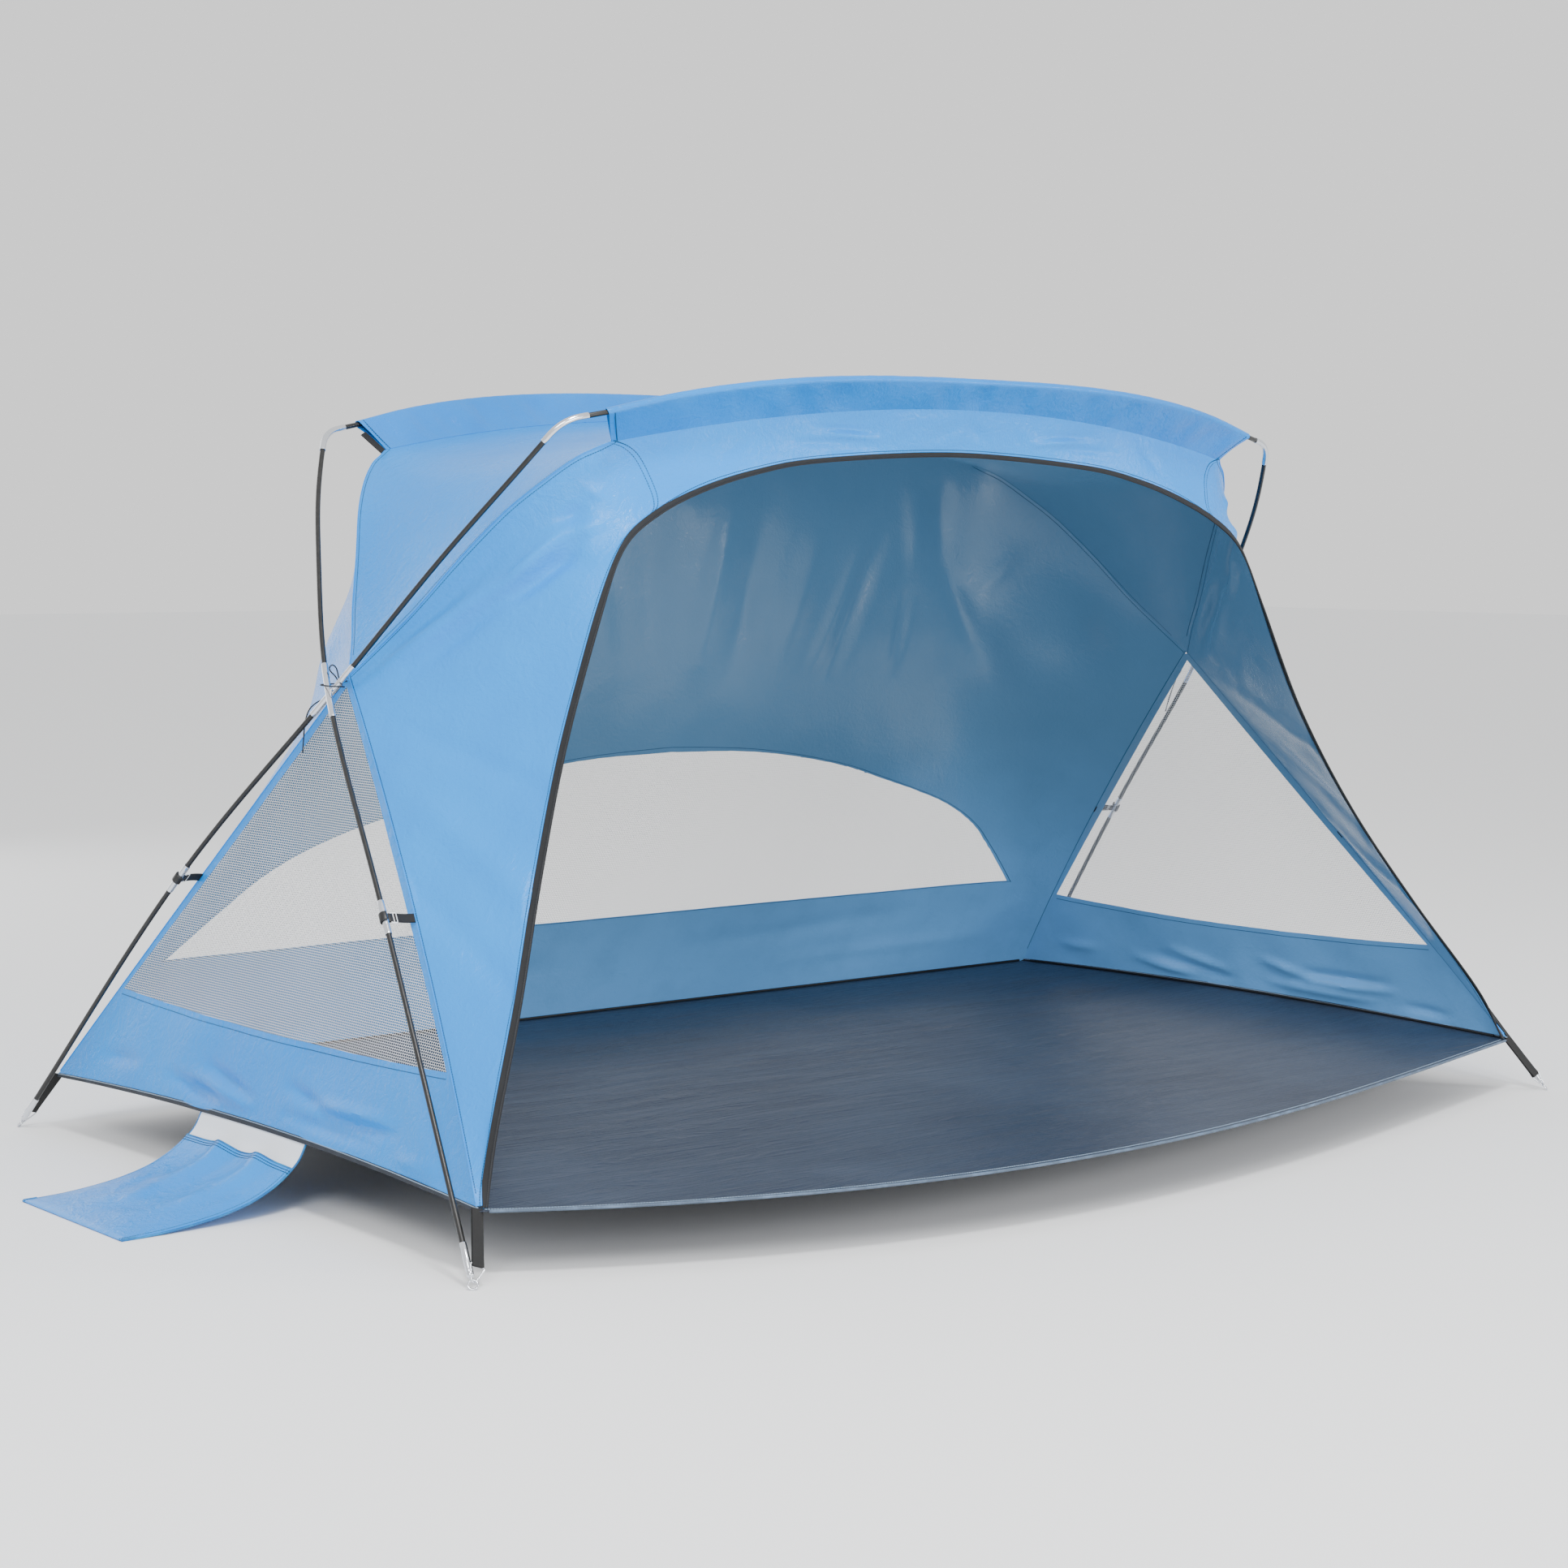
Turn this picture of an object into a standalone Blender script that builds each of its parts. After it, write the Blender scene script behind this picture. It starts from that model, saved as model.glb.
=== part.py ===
"""Beach tent: two crossed, shock-corded arch poles carry a sewn canopy with three net windows,
an arched doorway, a floor with a rounded porch, and a sand pocket on each side.

Metres, +Z up. The origin is on the ground below the middle of the tent. The doorway looks
along -Y, and left is -X. The tent is the same on its left and its right.
"""

import math

import bmesh
import bpy
import numpy as np
from mathutils import Matrix, Vector

# Driving sizes of the canopy.
floor_width = 2.20
floor_depth = 1.248
floor_height = 0.088
porch_reach = 0.242
porch_lean_share = 0.4
hem_pull = 0.014
hem_lift = 0.014
apex_width = 1.83
apex_height = 0.766
seam_bow = 0.013
ridge_width = 1.31
ridge_depth = 0.624
ridge_end_height = 1.116
ridge_rise = 0.065
ridge_bow = 0.055
roof_sag = 0.030
door_height = 1.106
door_seam_height = 1.000
door_seam_width = 1.216
cloth = 0.0012
seam_gap = 0.0009
roof_gap = 0.0019
fit_gap = 0.0003
wing_puff = 0.012
fold_tuck = 0.014

# The doorway's edge, from a floor corner to the top, as shares of half the floor's width, of the
# doorway's height over the floor and of half the floor's depth.
door_width_shares = (0.985, 0.954, 0.871, 0.793, 0.72, 0.649, 0.606, 0.553, 0.475, 0.377, 0.255, 0)
door_height_shares = (0, 0.088, 0.243, 0.406, 0.579, 0.759, 0.852, 0.898, 0.935, 0.965, 0.986, 1)
door_depth_shares = (1, 0.955, 0.835, 0.716, 0.63, 0.591, 0.575, 0.567, 0.56, 0.559, 0.559, 0.558)
# The hip, from a ridge's end to the apex, as shares of the way in X, in Y and down.
hip_across_shares = (0, 0.069, 0.169, 0.3, 0.446, 0.604, 0.762, 0.885, 1)
hip_depth_shares = (0, 0.045, 0.096, 0.192, 0.34, 0.532, 0.712, 0.872, 1)
hip_drop_shares = (0, 0.026, 0.069, 0.16, 0.291, 0.491, 0.709, 0.869, 1)
# Where the rows of each panel lie, as shares of the ridge, of the side seam and of a row.
ridge_shares = (0, 0.17, 0.34, 0.51, 0.68, 0.84, 1)
seam_shares = (0.12, 0.26, 0.4, 0.55, 0.7, 0.85, 0.97)
band_shares = (0, 0.34, 0.67, 1)
wall_shares = (-1, -0.66, -0.33, 0, 0.33, 0.66, 1)
roof_shares = (-1, -0.6, -0.2, 0.2, 0.6, 1)
roof_stop_share = 0.975
side_seam_shares = (1, 0.93, 0.85, 0.7, 0.55, 0.4, 0.26, 0.12, 0.014)
side_row_shares = (-1, -0.7, -0.35, 0, 0.35, 0.7, 1)
floor_depth_shares = (-1, -0.8, -0.5, -0.2, 0.2, 0.5, 0.8, 1)
floor_width_shares = (-1, -0.92, -0.75, -0.5, -0.25, 0, 0.25, 0.5, 0.75, 0.92, 1)

# Net windows and the door's zip.
rear_window_border = 0.025
rear_window_rise = 0.190
rear_window_height = 0.311
rear_window_width_shares = (1.0, 0.908, 0.836, 0.735, 0.585, 0.420, 0.210, 0.0)
rear_window_height_shares = (0.0, 0.264, 0.440, 0.592, 0.736, 0.875, 0.975, 1.0)
side_window_border = 0.010
side_window_rise = 0.159
side_window_dip = 0.012
side_window_drop = 0.016
net_gap = 0.0004
zip_width = 0.012
zip_thickness = 0.0022

# Poles: glass-fibre tube in steel ferrules, with a steel elbow at each end of the ridge.
pole_radius = 0.0040
bore_radius = 0.0019
cord_radius = 0.0012
ferrule_radius = 0.0050
ferrule_bore = 0.0044
clip_ferrule_length = 0.058
cross_ferrule_length = 0.108
elbow_arm = 0.040
elbow_round = 0.014
pole_gap = 0.0005

# How far the poles stand off the canopy: at the feet from the floor's corners, at the clips from
# the side seams, at the crossing from the apex, above it from the hips, at the elbows from the
# sleeves' ends.
foot_out_x = 0.041
foot_out_y = 0.051
foot_height = 0.0064
clip_seam_share = 0.478
clip_out = 0.046
clip_in = 0.006
cross_out = 0.033
cross_drop = 0.022
upper_hip_share = 0.588
upper_out_x = 0.048
upper_out_y = 0.021
shoulder_hip_share = 0.394
shoulder_out_x = 0.079
shoulder_out_y = 0.013
elbow_out = 0.070
elbow_in = 0.014
elbow_drop = 0.0135

# Sleeves, which hold the poles along the two ridges and stand up from the roof's seams.
sleeve_out_x = 0.032
sleeve_out_y = 0.034
sleeve_lift = 0.0385
sleeve_fullness = 2.8
sleeve_radius = 0.0064
sleeve_layer_gap = 0.0009
sleeve_cloth = 0.0010

# Feet: a capped steel tip with an eye, a bent-wire ring and a webbing strap at each corner.
tip_length = 0.050
tip_neck = 0.0030
tip_neck_radius = 0.0022
tip_shoulder_share = 0.72
tip_floor = 0.006
eye_radius = 0.0066
eye_wire = 0.0014
ring_wire = 0.00125
ring_length = 0.028
ring_nose = 0.004
ring_half_width = 0.0105
ring_corner = 0.003
ring_lean = math.radians(26)
strap_width = 0.017
strap_cloth = 0.0012

# Clips, which hold the side seams out to the poles.
clip_width = 0.014
clip_wall = 0.0026
clip_mouth = math.radians(70)
clip_tab = 0.0026

# Ties at the pole crossings.
tie_radius = 0.0011

# Sand pockets: the lower layer runs out and down to the ground, the upper one doubles back over
# it, and the gathered lip of the mouth stands up in crests.
pocket_width = 0.312
pocket_reach = 0.292
pocket_cloth = 0.0012
pocket_bulge = 0.008
pocket_lip = 0.011
pocket_mouth_share = 0.13
pocket_out_shares = (0, 0.05, 0.155, 0.29, 0.445, 0.61, 0.79, 1)
pocket_drop_shares = (0, 0.26, 0.52, 0.72, 0.85, 0.93, 0.98, 1)
pocket_station_shares = (-1, -0.85, -0.7, -0.5, -0.3, -0.13, 0, 0.13, 0.25, 0.4, 0.6, 0.8, 1)
pocket_crest_shares = (0, 0.15, 0.35, 1.0, 0.35, 0.05, 0.1, 0.6, 0.95, 0.4, 0.1, 0.05, 0)

SIDES = (("left", -1), ("right", 1))


def clear_scene():
    for item in list(bpy.data.objects):
        bpy.data.objects.remove(item, do_unlink=True)


def collection(name):
    made = bpy.data.collections.new(name)
    bpy.context.scene.collection.children.link(made)
    return made


def finish(name, color, roughness, metallic=0.0):
    """A Principled material of one colour."""
    made = bpy.data.materials.new(name)
    made.use_nodes = True
    shader = made.node_tree.nodes["Principled BSDF"]
    shader.inputs["Base Color"].default_value = (*color, 1.0)
    shader.inputs["Roughness"].default_value = roughness
    shader.inputs["Metallic"].default_value = metallic
    made.diffuse_color = (*color, 1.0)
    return made


clear_scene()
tent = collection("beach_tent")
cutters = collection("beach_tent_cutters")
blue_cloth = finish("blue_polyester", (0.06, 0.42, 0.90), 0.55)
floor_cloth = finish("slate_floor_cloth", (0.06, 0.09, 0.14), 0.45)
net_cloth = finish("white_net", (0.80, 0.82, 0.84), 0.8)
black_web = finish("black_webbing", (0.012, 0.012, 0.014), 0.75)
zip_tape = finish("zip_tape", (0.03, 0.035, 0.045), 0.6)
glass_fibre = finish("black_glass_fibre", (0.015, 0.015, 0.015), 0.35)
steel = finish("bright_steel", (0.75, 0.76, 0.78), 0.25, 1.0)
elastic = finish("elastic_cord", (0.55, 0.55, 0.52), 0.7)
plastic = finish("black_plastic", (0.015, 0.015, 0.018), 0.4)
tie_cord = finish("tie_cord", (0.02, 0.03, 0.05), 0.7)


def place(name, data, material, home=None):
    item = bpy.data.objects.new(name, data)
    item.data.materials.append(material)
    (home or tent).objects.link(item)
    return item


def as_cutter(item):
    item.hide_render = True
    item.display_type = "WIRE"
    return item


def grid_faces(rows, columns, first=0):
    """Triangles over a grid of points, whose diagonals mirror about the middle of the rows."""
    faces = []
    for i in range(rows - 1):
        for j in range(columns - 1):
            a = first + i * columns + j
            b, c, d = a + 1, a + columns + 1, a + columns
            if (i < (rows - 1) / 2) == (j < (columns - 1) / 2):
                faces += [(a, b, c), (a, c, d)]
            else:
                faces += [(a, b, d), (b, c, d)]
    return faces


def sheet(name, grids, thickness, material):
    """A sheet of cloth with its middle on the given grids of points, welded into one surface."""
    build = bmesh.new()
    for grid in grids:
        points = [build.verts.new(p) for row in grid for p in row]
        for face in grid_faces(len(grid), len(grid[0])):
            build.faces.new([points[k] for k in face])
    bmesh.ops.remove_doubles(build, verts=build.verts, dist=cloth / 100)
    bmesh.ops.dissolve_degenerate(build, edges=build.edges, dist=cloth / 100)
    bmesh.ops.recalc_face_normals(build, faces=build.faces)
    data = bpy.data.meshes.new(name)
    build.to_mesh(data)
    build.free()
    item = place(name, data, material)
    wall = item.modifiers.new("cloth", "SOLIDIFY")
    wall.thickness = thickness
    wall.offset = 0
    return item


def path_curve(name, points, radius, resolution, caps, closed=False):
    data = bpy.data.curves.new(name, "CURVE")
    data.dimensions = "3D"
    data.bevel_depth = radius
    data.bevel_resolution = resolution
    data.use_fill_caps = caps
    spline = data.splines.new("POLY")
    spline.points.add(len(points) - 1)
    for spot, p in zip(spline.points, points):
        spot.co = (*p, 1.0)
    spline.use_cyclic_u = closed
    return data


def rod(name, points, radius, material, resolution=2):
    return place(name, path_curve(name, points, radius, resolution, True), material)


def pipe(name, points, radius, bore, material):
    """A tube that is open at both ends."""
    item = place(name, path_curve(name, points, radius, 2, False), material)
    wall = item.modifiers.new("wall", "SOLIDIFY")
    wall.thickness = radius - bore
    wall.offset = -1
    wall.use_even_offset = True
    return item


def made_mesh(item):
    """The item with its curve or modifiers turned into a plain mesh."""
    bpy.context.view_layer.update()
    graph = bpy.context.evaluated_depsgraph_get()
    data = bpy.data.meshes.new_from_object(item.evaluated_get(graph))
    build = bmesh.new()
    build.from_mesh(data)
    bmesh.ops.remove_doubles(build, verts=build.verts, dist=cloth / 100)
    bmesh.ops.recalc_face_normals(build, faces=build.faces)
    build.to_mesh(data)
    build.free()
    name, world, home = item.name, item.matrix_world.copy(), item.users_collection[0]
    bpy.data.objects.remove(item)
    made = bpy.data.objects.new(name, data)
    made.matrix_world = world
    home.objects.link(made)
    return made


def prism(name, outline, low, high, along):
    """A cutter with the given outline, from low to high along Y or X."""
    data = bpy.data.curves.new(name, "CURVE")
    data.dimensions = "2D"
    data.fill_mode = "BOTH"
    data.extrude = (high - low) / 2
    spline = data.splines.new("POLY")
    spline.points.add(len(outline) - 1)
    for spot, (a, b) in zip(spline.points, outline):
        spot.co = (a, b, 0, 1)
    spline.use_cyclic_u = True
    item = place(name, data, net_cloth, cutters)
    middle = (low + high) / 2
    if along == "y":
        item.matrix_world = Matrix.Translation((0, middle, 0)) @ Matrix.Rotation(math.pi / 2, 4, "X")
    else:
        turn = Matrix(((0, 0, 1, 0), (1, 0, 0, 0), (0, 1, 0, 0), (0, 0, 0, 1)))
        item.matrix_world = Matrix.Translation((middle, 0, 0)) @ turn
    return as_cutter(made_mesh(item))


def cut(item, cutter, operation):
    step = item.modifiers.new("window", "BOOLEAN")
    step.operation = operation
    step.solver = "EXACT"
    step.object = cutter


def shrunk(outline, distance):
    """A convex outline moved inwards by a distance."""
    count = len(outline)
    middle = sum((Vector(p) for p in outline), Vector((0, 0))) / count
    made = []
    for k in range(count):
        before, here, after = (Vector(outline[(k + s) % count]) for s in (-1, 0, 1))
        normals = []
        for a, b in ((before, here), (here, after)):
            along = (b - a).normalized()
            across = Vector((-along.y, along.x))
            normals.append(across if across.dot(middle - here) > 0 else -across)
        mean = (normals[0] + normals[1]).normalized()
        made.append(tuple(here + mean * distance / max(mean.dot(normals[0]), 0.2)))
    return made


def curve_through(points, steps):
    """A smooth line through the points (Catmull-Rom), with the given steps between each two."""
    pts = [Vector(p) for p in points]
    pts = [2 * pts[0] - pts[1], *pts, 2 * pts[-1] - pts[-2]]
    made = []
    for a, b, c, d in zip(pts, pts[1:], pts[2:], pts[3:]):
        for k in range(steps):
            t = k / steps
            made.append(
                (b * 2 + (c - a) * t + (a * 2 - b * 5 + c * 4 - d) * t**2 + (b * 3 - a - c * 3 + d) * t**3) / 2
            )
    made.append(pts[-2])
    return made


def lengths(points):
    total = [0.0]
    for a, b in zip(points, points[1:]):
        total.append(total[-1] + (b - a).length)
    return total


def at_length(points, total, s):
    s = min(max(s, 0.0), total[-1])
    k = min(max(int(np.searchsorted(total, s)), 1), len(points) - 1)
    share = (s - total[k - 1]) / (total[k] - total[k - 1])
    return points[k - 1].lerp(points[k], share)


def stretch(points, total, low, high):
    """The part of a line between two lengths along it, which keeps the line's own points."""
    inner = [p for p, s in zip(points, total) if low + cord_radius < s < high - cord_radius]
    return [at_length(points, total, low), *inner, at_length(points, total, high)]


def rounded_corner(before, after, size, steps=4):
    """Two lines that meet at a corner, joined by a round bend that starts that far from it."""
    corner = before[-1]
    into, out = lengths(before), lengths(after)
    a = at_length(before, into, into[-1] - size)
    b = at_length(after, out, size)
    keep = [p for p, s in zip(before, into) if s < into[-1] - size * 1.5]
    rest = [p for p, s in zip(after, out) if s > size * 1.5]
    bend = []
    for k in range(steps + 1):
        t = k / steps
        bend.append(a * (1 - t) ** 2 + corner * 2 * t * (1 - t) + b * t**2)
    return keep + bend + rest


# Lines of the sewn canopy, in the quarter where x and y are positive.
corner = Vector((floor_width / 2, floor_depth / 2, floor_height))
apex = Vector((apex_width / 2, 0, apex_height))
ridge_end = Vector((ridge_width / 2, ridge_depth / 2, ridge_end_height))
sleeve_end = ridge_end + Vector((sleeve_out_x, sleeve_out_y, sleeve_lift))


def seam_line(t):
    """The seam from the apex, 0, to the floor's corner, 1."""
    bow = 4 * t * (1 - t) * seam_bow
    return apex.lerp(corner, t) + Vector((-bow / 2, bow, 0))


def hip_line(t):
    """The seam from the ridge's end, 0, to the apex, 1."""
    shares = [
        np.interp(t * (len(row) - 1), range(len(row)), row)
        for row in (hip_across_shares, hip_depth_shares, hip_drop_shares)
    ]
    way = apex - ridge_end
    return ridge_end + Vector(a * b for a, b in zip(way, shares))


def ridge_line(u):
    """The seam along the ridge, from the middle, 0, to its end, 1."""
    flat = 1 - u * u
    return Vector((ridge_end.x * u, ridge_end.y + ridge_bow * flat, ridge_end.z + ridge_rise * flat))


door_curve = curve_through(
    [
        (
            floor_width / 2 * across,
            floor_depth / 2 * depth,
            floor_height + (door_height - floor_height) * rise,
        )
        for across, depth, rise in zip(door_width_shares, door_depth_shares, door_height_shares)
    ],
    4,
)


def door_edge(height):
    """The doorway's edge at a height, on the right of the tent and mirrored to the rear."""
    heights = [p.z for p in door_curve]
    return Vector([np.interp(height, heights, [p[k] for p in door_curve]) for k in (0, 1, 2)])


def door_top(x):
    """The doorway's edge at a distance from the middle, above its corner seams."""
    across = [p.x for p in door_curve[::-1]]
    return Vector([np.interp(x, across, [p[k] for p in door_curve[::-1]]) for k in (0, 1, 2)])


hip_shares = [k / 8 for k in range(1, 9)]


def panel_pairs():
    """Matching points of a panel's outer seam and of the doorway's edge, from the top down."""
    pairs = [(ridge_line(u), door_top(u * door_seam_width / 2)) for u in ridge_shares]
    low = door_edge(apex_height)
    for t in hip_shares:
        height = door_seam_height + (low.z - door_seam_height) * t
        pairs.append((hip_line(t), door_edge(height)))
    for t in seam_shares:
        outer = seam_line(t)
        pairs.append((outer, door_edge(outer.z)))
    return pairs


def mirrored_rows(rows):
    """Rows of the right half, from the middle, with the left half's before them."""
    left = [[Vector((-p.x, p.y, p.z)) for p in row] for row in rows[:0:-1]]
    return left + rows


def at_front(p):
    return Vector((p.x, -p.y, p.z))


def zip_share(outer, edge):
    """Where the zip tape starts, as a share of the way from a panel's outer seam to its edge."""
    width = (edge - outer).length
    return 1 - min(zip_width, width / 2) / width


def make_front_panel():
    """The panel round the doorway: a band over it and a wing on each side."""
    rows = []
    for outer, edge in panel_pairs():
        into = (edge - outer).normalized()
        start = outer + into * seam_gap
        stop = outer.lerp(edge, zip_share(outer, edge)) - into * net_gap
        rows.append([at_front(start.lerp(stop, w)) for w in band_shares])
    return sheet("front_panel", [mirrored_rows(rows)], cloth, blue_cloth)


def make_door_zip():
    """The zip tape, which runs round the doorway's edge."""
    rows = []
    for outer, edge in panel_pairs():
        rows.append([at_front(outer.lerp(edge, zip_share(outer, edge))), at_front(edge)])
    return sheet("door_zip_tape", [mirrored_rows(rows)], zip_thickness, zip_tape)


def rear_fold(edge):
    """Where the rear wall turns into its wings: the doorway's edge at the rear, drawn in a little."""
    draw = fold_tuck * min(1, (edge.z - floor_height) / apex_height * 4)
    return Vector((edge.x - draw, edge.y - draw, edge.z))


def rear_grids():
    band, fill = [], []
    for outer, edge in panel_pairs():
        fold = rear_fold(edge) if edge.x > fold_tuck else edge
        into = (fold - outer).normalized()
        start = outer + into * seam_gap
        away = Vector((into.y, -into.x, 0)) if outer.z < ridge_end_height else Vector((0, 0, 0))
        away = away if away.x > 0 else -away
        row = []
        for w in band_shares:
            puff = 4 * w * (1 - w) * wing_puff * min(1, (fold - outer).length / (ridge_depth / 2))
            row.append(start.lerp(fold, w) + away * puff)
        band.append(row)
        fill.append([Vector((fold.x * s, fold.y, fold.z)) for s in wall_shares])
    bottom = floor_height + seam_gap * 2
    foot_y = floor_depth / 2 - seam_gap
    last = band[-1][-1]
    fill.append([Vector((last.x * s, foot_y, bottom)) for s in wall_shares])
    return [mirrored_rows(band), fill]


def rear_window_outline():
    low = floor_height + rear_window_rise
    half = rear_fold(door_edge(low)).x - rear_window_border
    right = [
        (half * w, low + rear_window_height * h)
        for w, h in zip(rear_window_width_shares, rear_window_height_shares)
    ]
    return right + [(-x, z) for x, z in right[-2::-1]]


def make_rear_wall():
    """The rear wall, with its long net window."""
    outline = rear_window_outline()
    wall = sheet("rear_panel", rear_grids(), cloth, blue_cloth)
    cut(wall, prism("rear_window_cut", outline, ridge_depth / 4, floor_depth, "y"), "DIFFERENCE")
    net = sheet("rear_window_net", rear_grids(), cloth, net_cloth)
    small = prism("rear_net_cut", shrunk(outline, net_gap), ridge_depth / 4, floor_depth, "y")
    cut(net, small, "INTERSECT")


def side_rows(sign):
    """The side wall from its hem to just under the apex."""
    rows = []
    for t in side_seam_shares:
        edge = seam_line(t)
        reach = edge.y - seam_gap * 1.3
        row = []
        for v in side_row_shares:
            slack = 1 - v * v
            x = edge.x - hem_pull * slack * t
            z = edge.z + hem_lift * slack * t * t + (seam_gap * 1.5 if t == 1 else 0)
            row.append(Vector((sign * x, v * reach, z)))
        rows.append(row)
    return rows


def side_window_outline():
    low = floor_height + side_window_rise
    half = seam_line((apex_height - low) / (apex_height - floor_height)).y - side_window_border
    sill = [(half * s, low - side_window_dip * (1 - s * s)) for s in (-1, -0.5, 0, 0.5, 1)]
    return sill + [(0, apex_height - side_window_drop)]


def make_side_wall(side, sign):
    """A side wall, with its three-cornered net window."""
    outline = side_window_outline()
    near, far = sign * apex_width / 4, sign * floor_width
    low, high = min(near, far), max(near, far)
    wall = sheet(f"side_panel_{side}", [side_rows(sign)], cloth, blue_cloth)
    cut(wall, prism(f"side_window_cut_{side}", outline, low, high, "x"), "DIFFERENCE")
    net = sheet(f"side_window_net_{side}", [side_rows(sign)], cloth, net_cloth)
    cut(net, prism(f"side_net_cut_{side}", shrunk(outline, net_gap), low, high, "x"), "INTERSECT")


def make_roof():
    """The roof between the two ridges, which runs down to an apex on each side."""
    outer = [ridge_line(u) for u in ridge_shares]
    outer += [hip_line(t) for t in [*hip_shares[:-1], roof_stop_share]]
    rows = []
    for p in outer:
        reach = p.y - roof_gap
        sag = roof_sag * min(1, p.y / (ridge_depth / 2))
        row = []
        for v in roof_shares:
            row.append(Vector((p.x, v * reach, p.z - sag * (1 - v * v))))
        rows.append(row)
    return sheet("roof_panel", [mirrored_rows(rows)], cloth, blue_cloth)


def floor_rows():
    rows = []
    for v in floor_depth_shares:
        row = []
        for u in floor_width_shares:
            slack = 1 - v * v
            half = floor_width / 2 - hem_pull * slack - seam_gap
            porch = porch_reach * (1 - u * u) * (1 - porch_lean_share * u) * max(0, -v)
            y = v * (floor_depth / 2 - seam_gap) - porch
            lift = hem_lift * slack * max(0, abs(u) * 2 - 1) ** 3
            row.append(Vector((u * half, y, floor_height + lift)))
        rows.append(row)
    return rows


def make_floor():
    """The floor, held off the ground by its corners, with a rounded porch in front."""
    return sheet("floor_sheet", [floor_rows()], cloth, floor_cloth)


# The run of a pole from a rear foot to the front ridge, on the right. The other pole's is its
# mirror image in Y, and passes outside it at the crossing.
def foot_eye(sign_x, sign_y):
    x = floor_width / 2 + foot_out_x
    y = floor_depth / 2 + foot_out_y
    return Vector((sign_x * x, sign_y * y, foot_height))


def leg_marks(outwards):
    """The points that a pole passes from a foot up to its elbow, as if both were at the rear."""
    shift = outwards * (ferrule_radius + pole_gap / 2)
    upper, shoulder = hip_line(upper_hip_share), hip_line(shoulder_hip_share)
    return [
        foot_eye(1, 1),
        seam_line(clip_seam_share) + Vector((clip_out, -clip_in, 0)),
        apex + Vector((cross_out + shift, 0, -cross_drop)),
        Vector((upper.x + upper_out_x, -upper.y - upper_out_y, upper.z)),
        Vector((shoulder.x + shoulder_out_x, -shoulder.y - shoulder_out_y, shoulder.z)),
        Vector((sleeve_end.x + elbow_out, elbow_in - sleeve_end.y, sleeve_end.z - elbow_drop)),
    ]


def pole_line(sign_y, outwards):
    """The whole line of a pole, from its left foot over the ridge to its right foot."""
    leg = curve_through([(p.x, sign_y * p.y, p.z) for p in leg_marks(outwards)], 4)
    ridge = [leg[-1]]
    for u in ridge_shares[::-1]:
        flat = 1 - u**sleeve_fullness
        y = -sign_y * (sleeve_end.y + ridge_bow * flat)
        ridge.append(Vector((sleeve_end.x * u, y, sleeve_end.z + ridge_rise * flat)))
    half = rounded_corner(leg, ridge, elbow_round)
    return [Vector((-p.x, p.y, p.z)) for p in half] + half[-2::-1]


def length_near(points, total, target):
    """How far along the line its nearest point to the target is."""
    target = Vector(target)
    best, found = None, 0
    for k in range(len(points) - 1):
        run = points[k + 1] - points[k]
        share = min(max((target - points[k]).dot(run) / run.length_squared, 0), 1)
        away = (points[k] + run * share - target).length
        if best is None or away < best:
            best, found = away, total[k] + share * run.length
    return found


def make_pole(name, sign_y, outwards):
    """All the sections, ferrules and elbows of one pole, with its elastic cord inside."""
    points = pole_line(sign_y, outwards)
    total = lengths(points)
    end = total[-1]
    tip_start = eye_radius + eye_wire + tip_neck
    joints = fit_gap
    _, clip, cross, _, _, elbow = leg_marks(outwards)
    marks = {}
    for side, sign in SIDES:
        marks[side] = [length_near(points, total, (sign * p.x, sign_y * p.y, p.z)) for p in (clip, cross, elbow)]

    def piece(label, low, high, radius, bore, material):
        pipe(f"{name}_{label}", stretch(points, total, low, high), radius, bore, material)

    for side, sign in SIDES:
        clip_at, cross_at, elbow_at = marks[side]
        way = 1 if sign < 0 else -1
        foot_at = tip_start + tip_floor + joints if sign < 0 else end - tip_start - tip_floor - joints

        def run(label, a, b, radius, bore, material):
            low, high = sorted((a, b))
            piece(f"{label}_{side}", low, high, radius, bore, material)

        bend_at = elbow_at - way * (elbow_round + joints)
        run("lower_section", foot_at, clip_at - way * joints, pole_radius, bore_radius, glass_fibre)
        run("middle_section", clip_at + way * joints, cross_at - way * joints, pole_radius, bore_radius, glass_fibre)
        run("upper_section", cross_at + way * joints, bend_at, pole_radius, bore_radius, glass_fibre)
        half = clip_ferrule_length / 2
        run("clip_ferrule", clip_at - half, clip_at + half, ferrule_radius, ferrule_bore, steel)
        half = cross_ferrule_length / 2
        run("cross_ferrule", cross_at - half, cross_at + half, ferrule_radius, ferrule_bore, steel)
        run("elbow", elbow_at - elbow_arm, elbow_at + elbow_arm, ferrule_radius, ferrule_bore, steel)
    low = marks["left"][2] + elbow_round + joints
    high = marks["right"][2] - elbow_round - joints
    piece("ridge_section", low, high, pole_radius, bore_radius, glass_fibre)
    inside = tip_start + tip_floor + joints * 4
    cord = stretch(points, total, inside, end - inside)
    rod(f"{name}_shock_cord", cord, cord_radius, elastic, resolution=0)
    return points, total, marks


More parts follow.
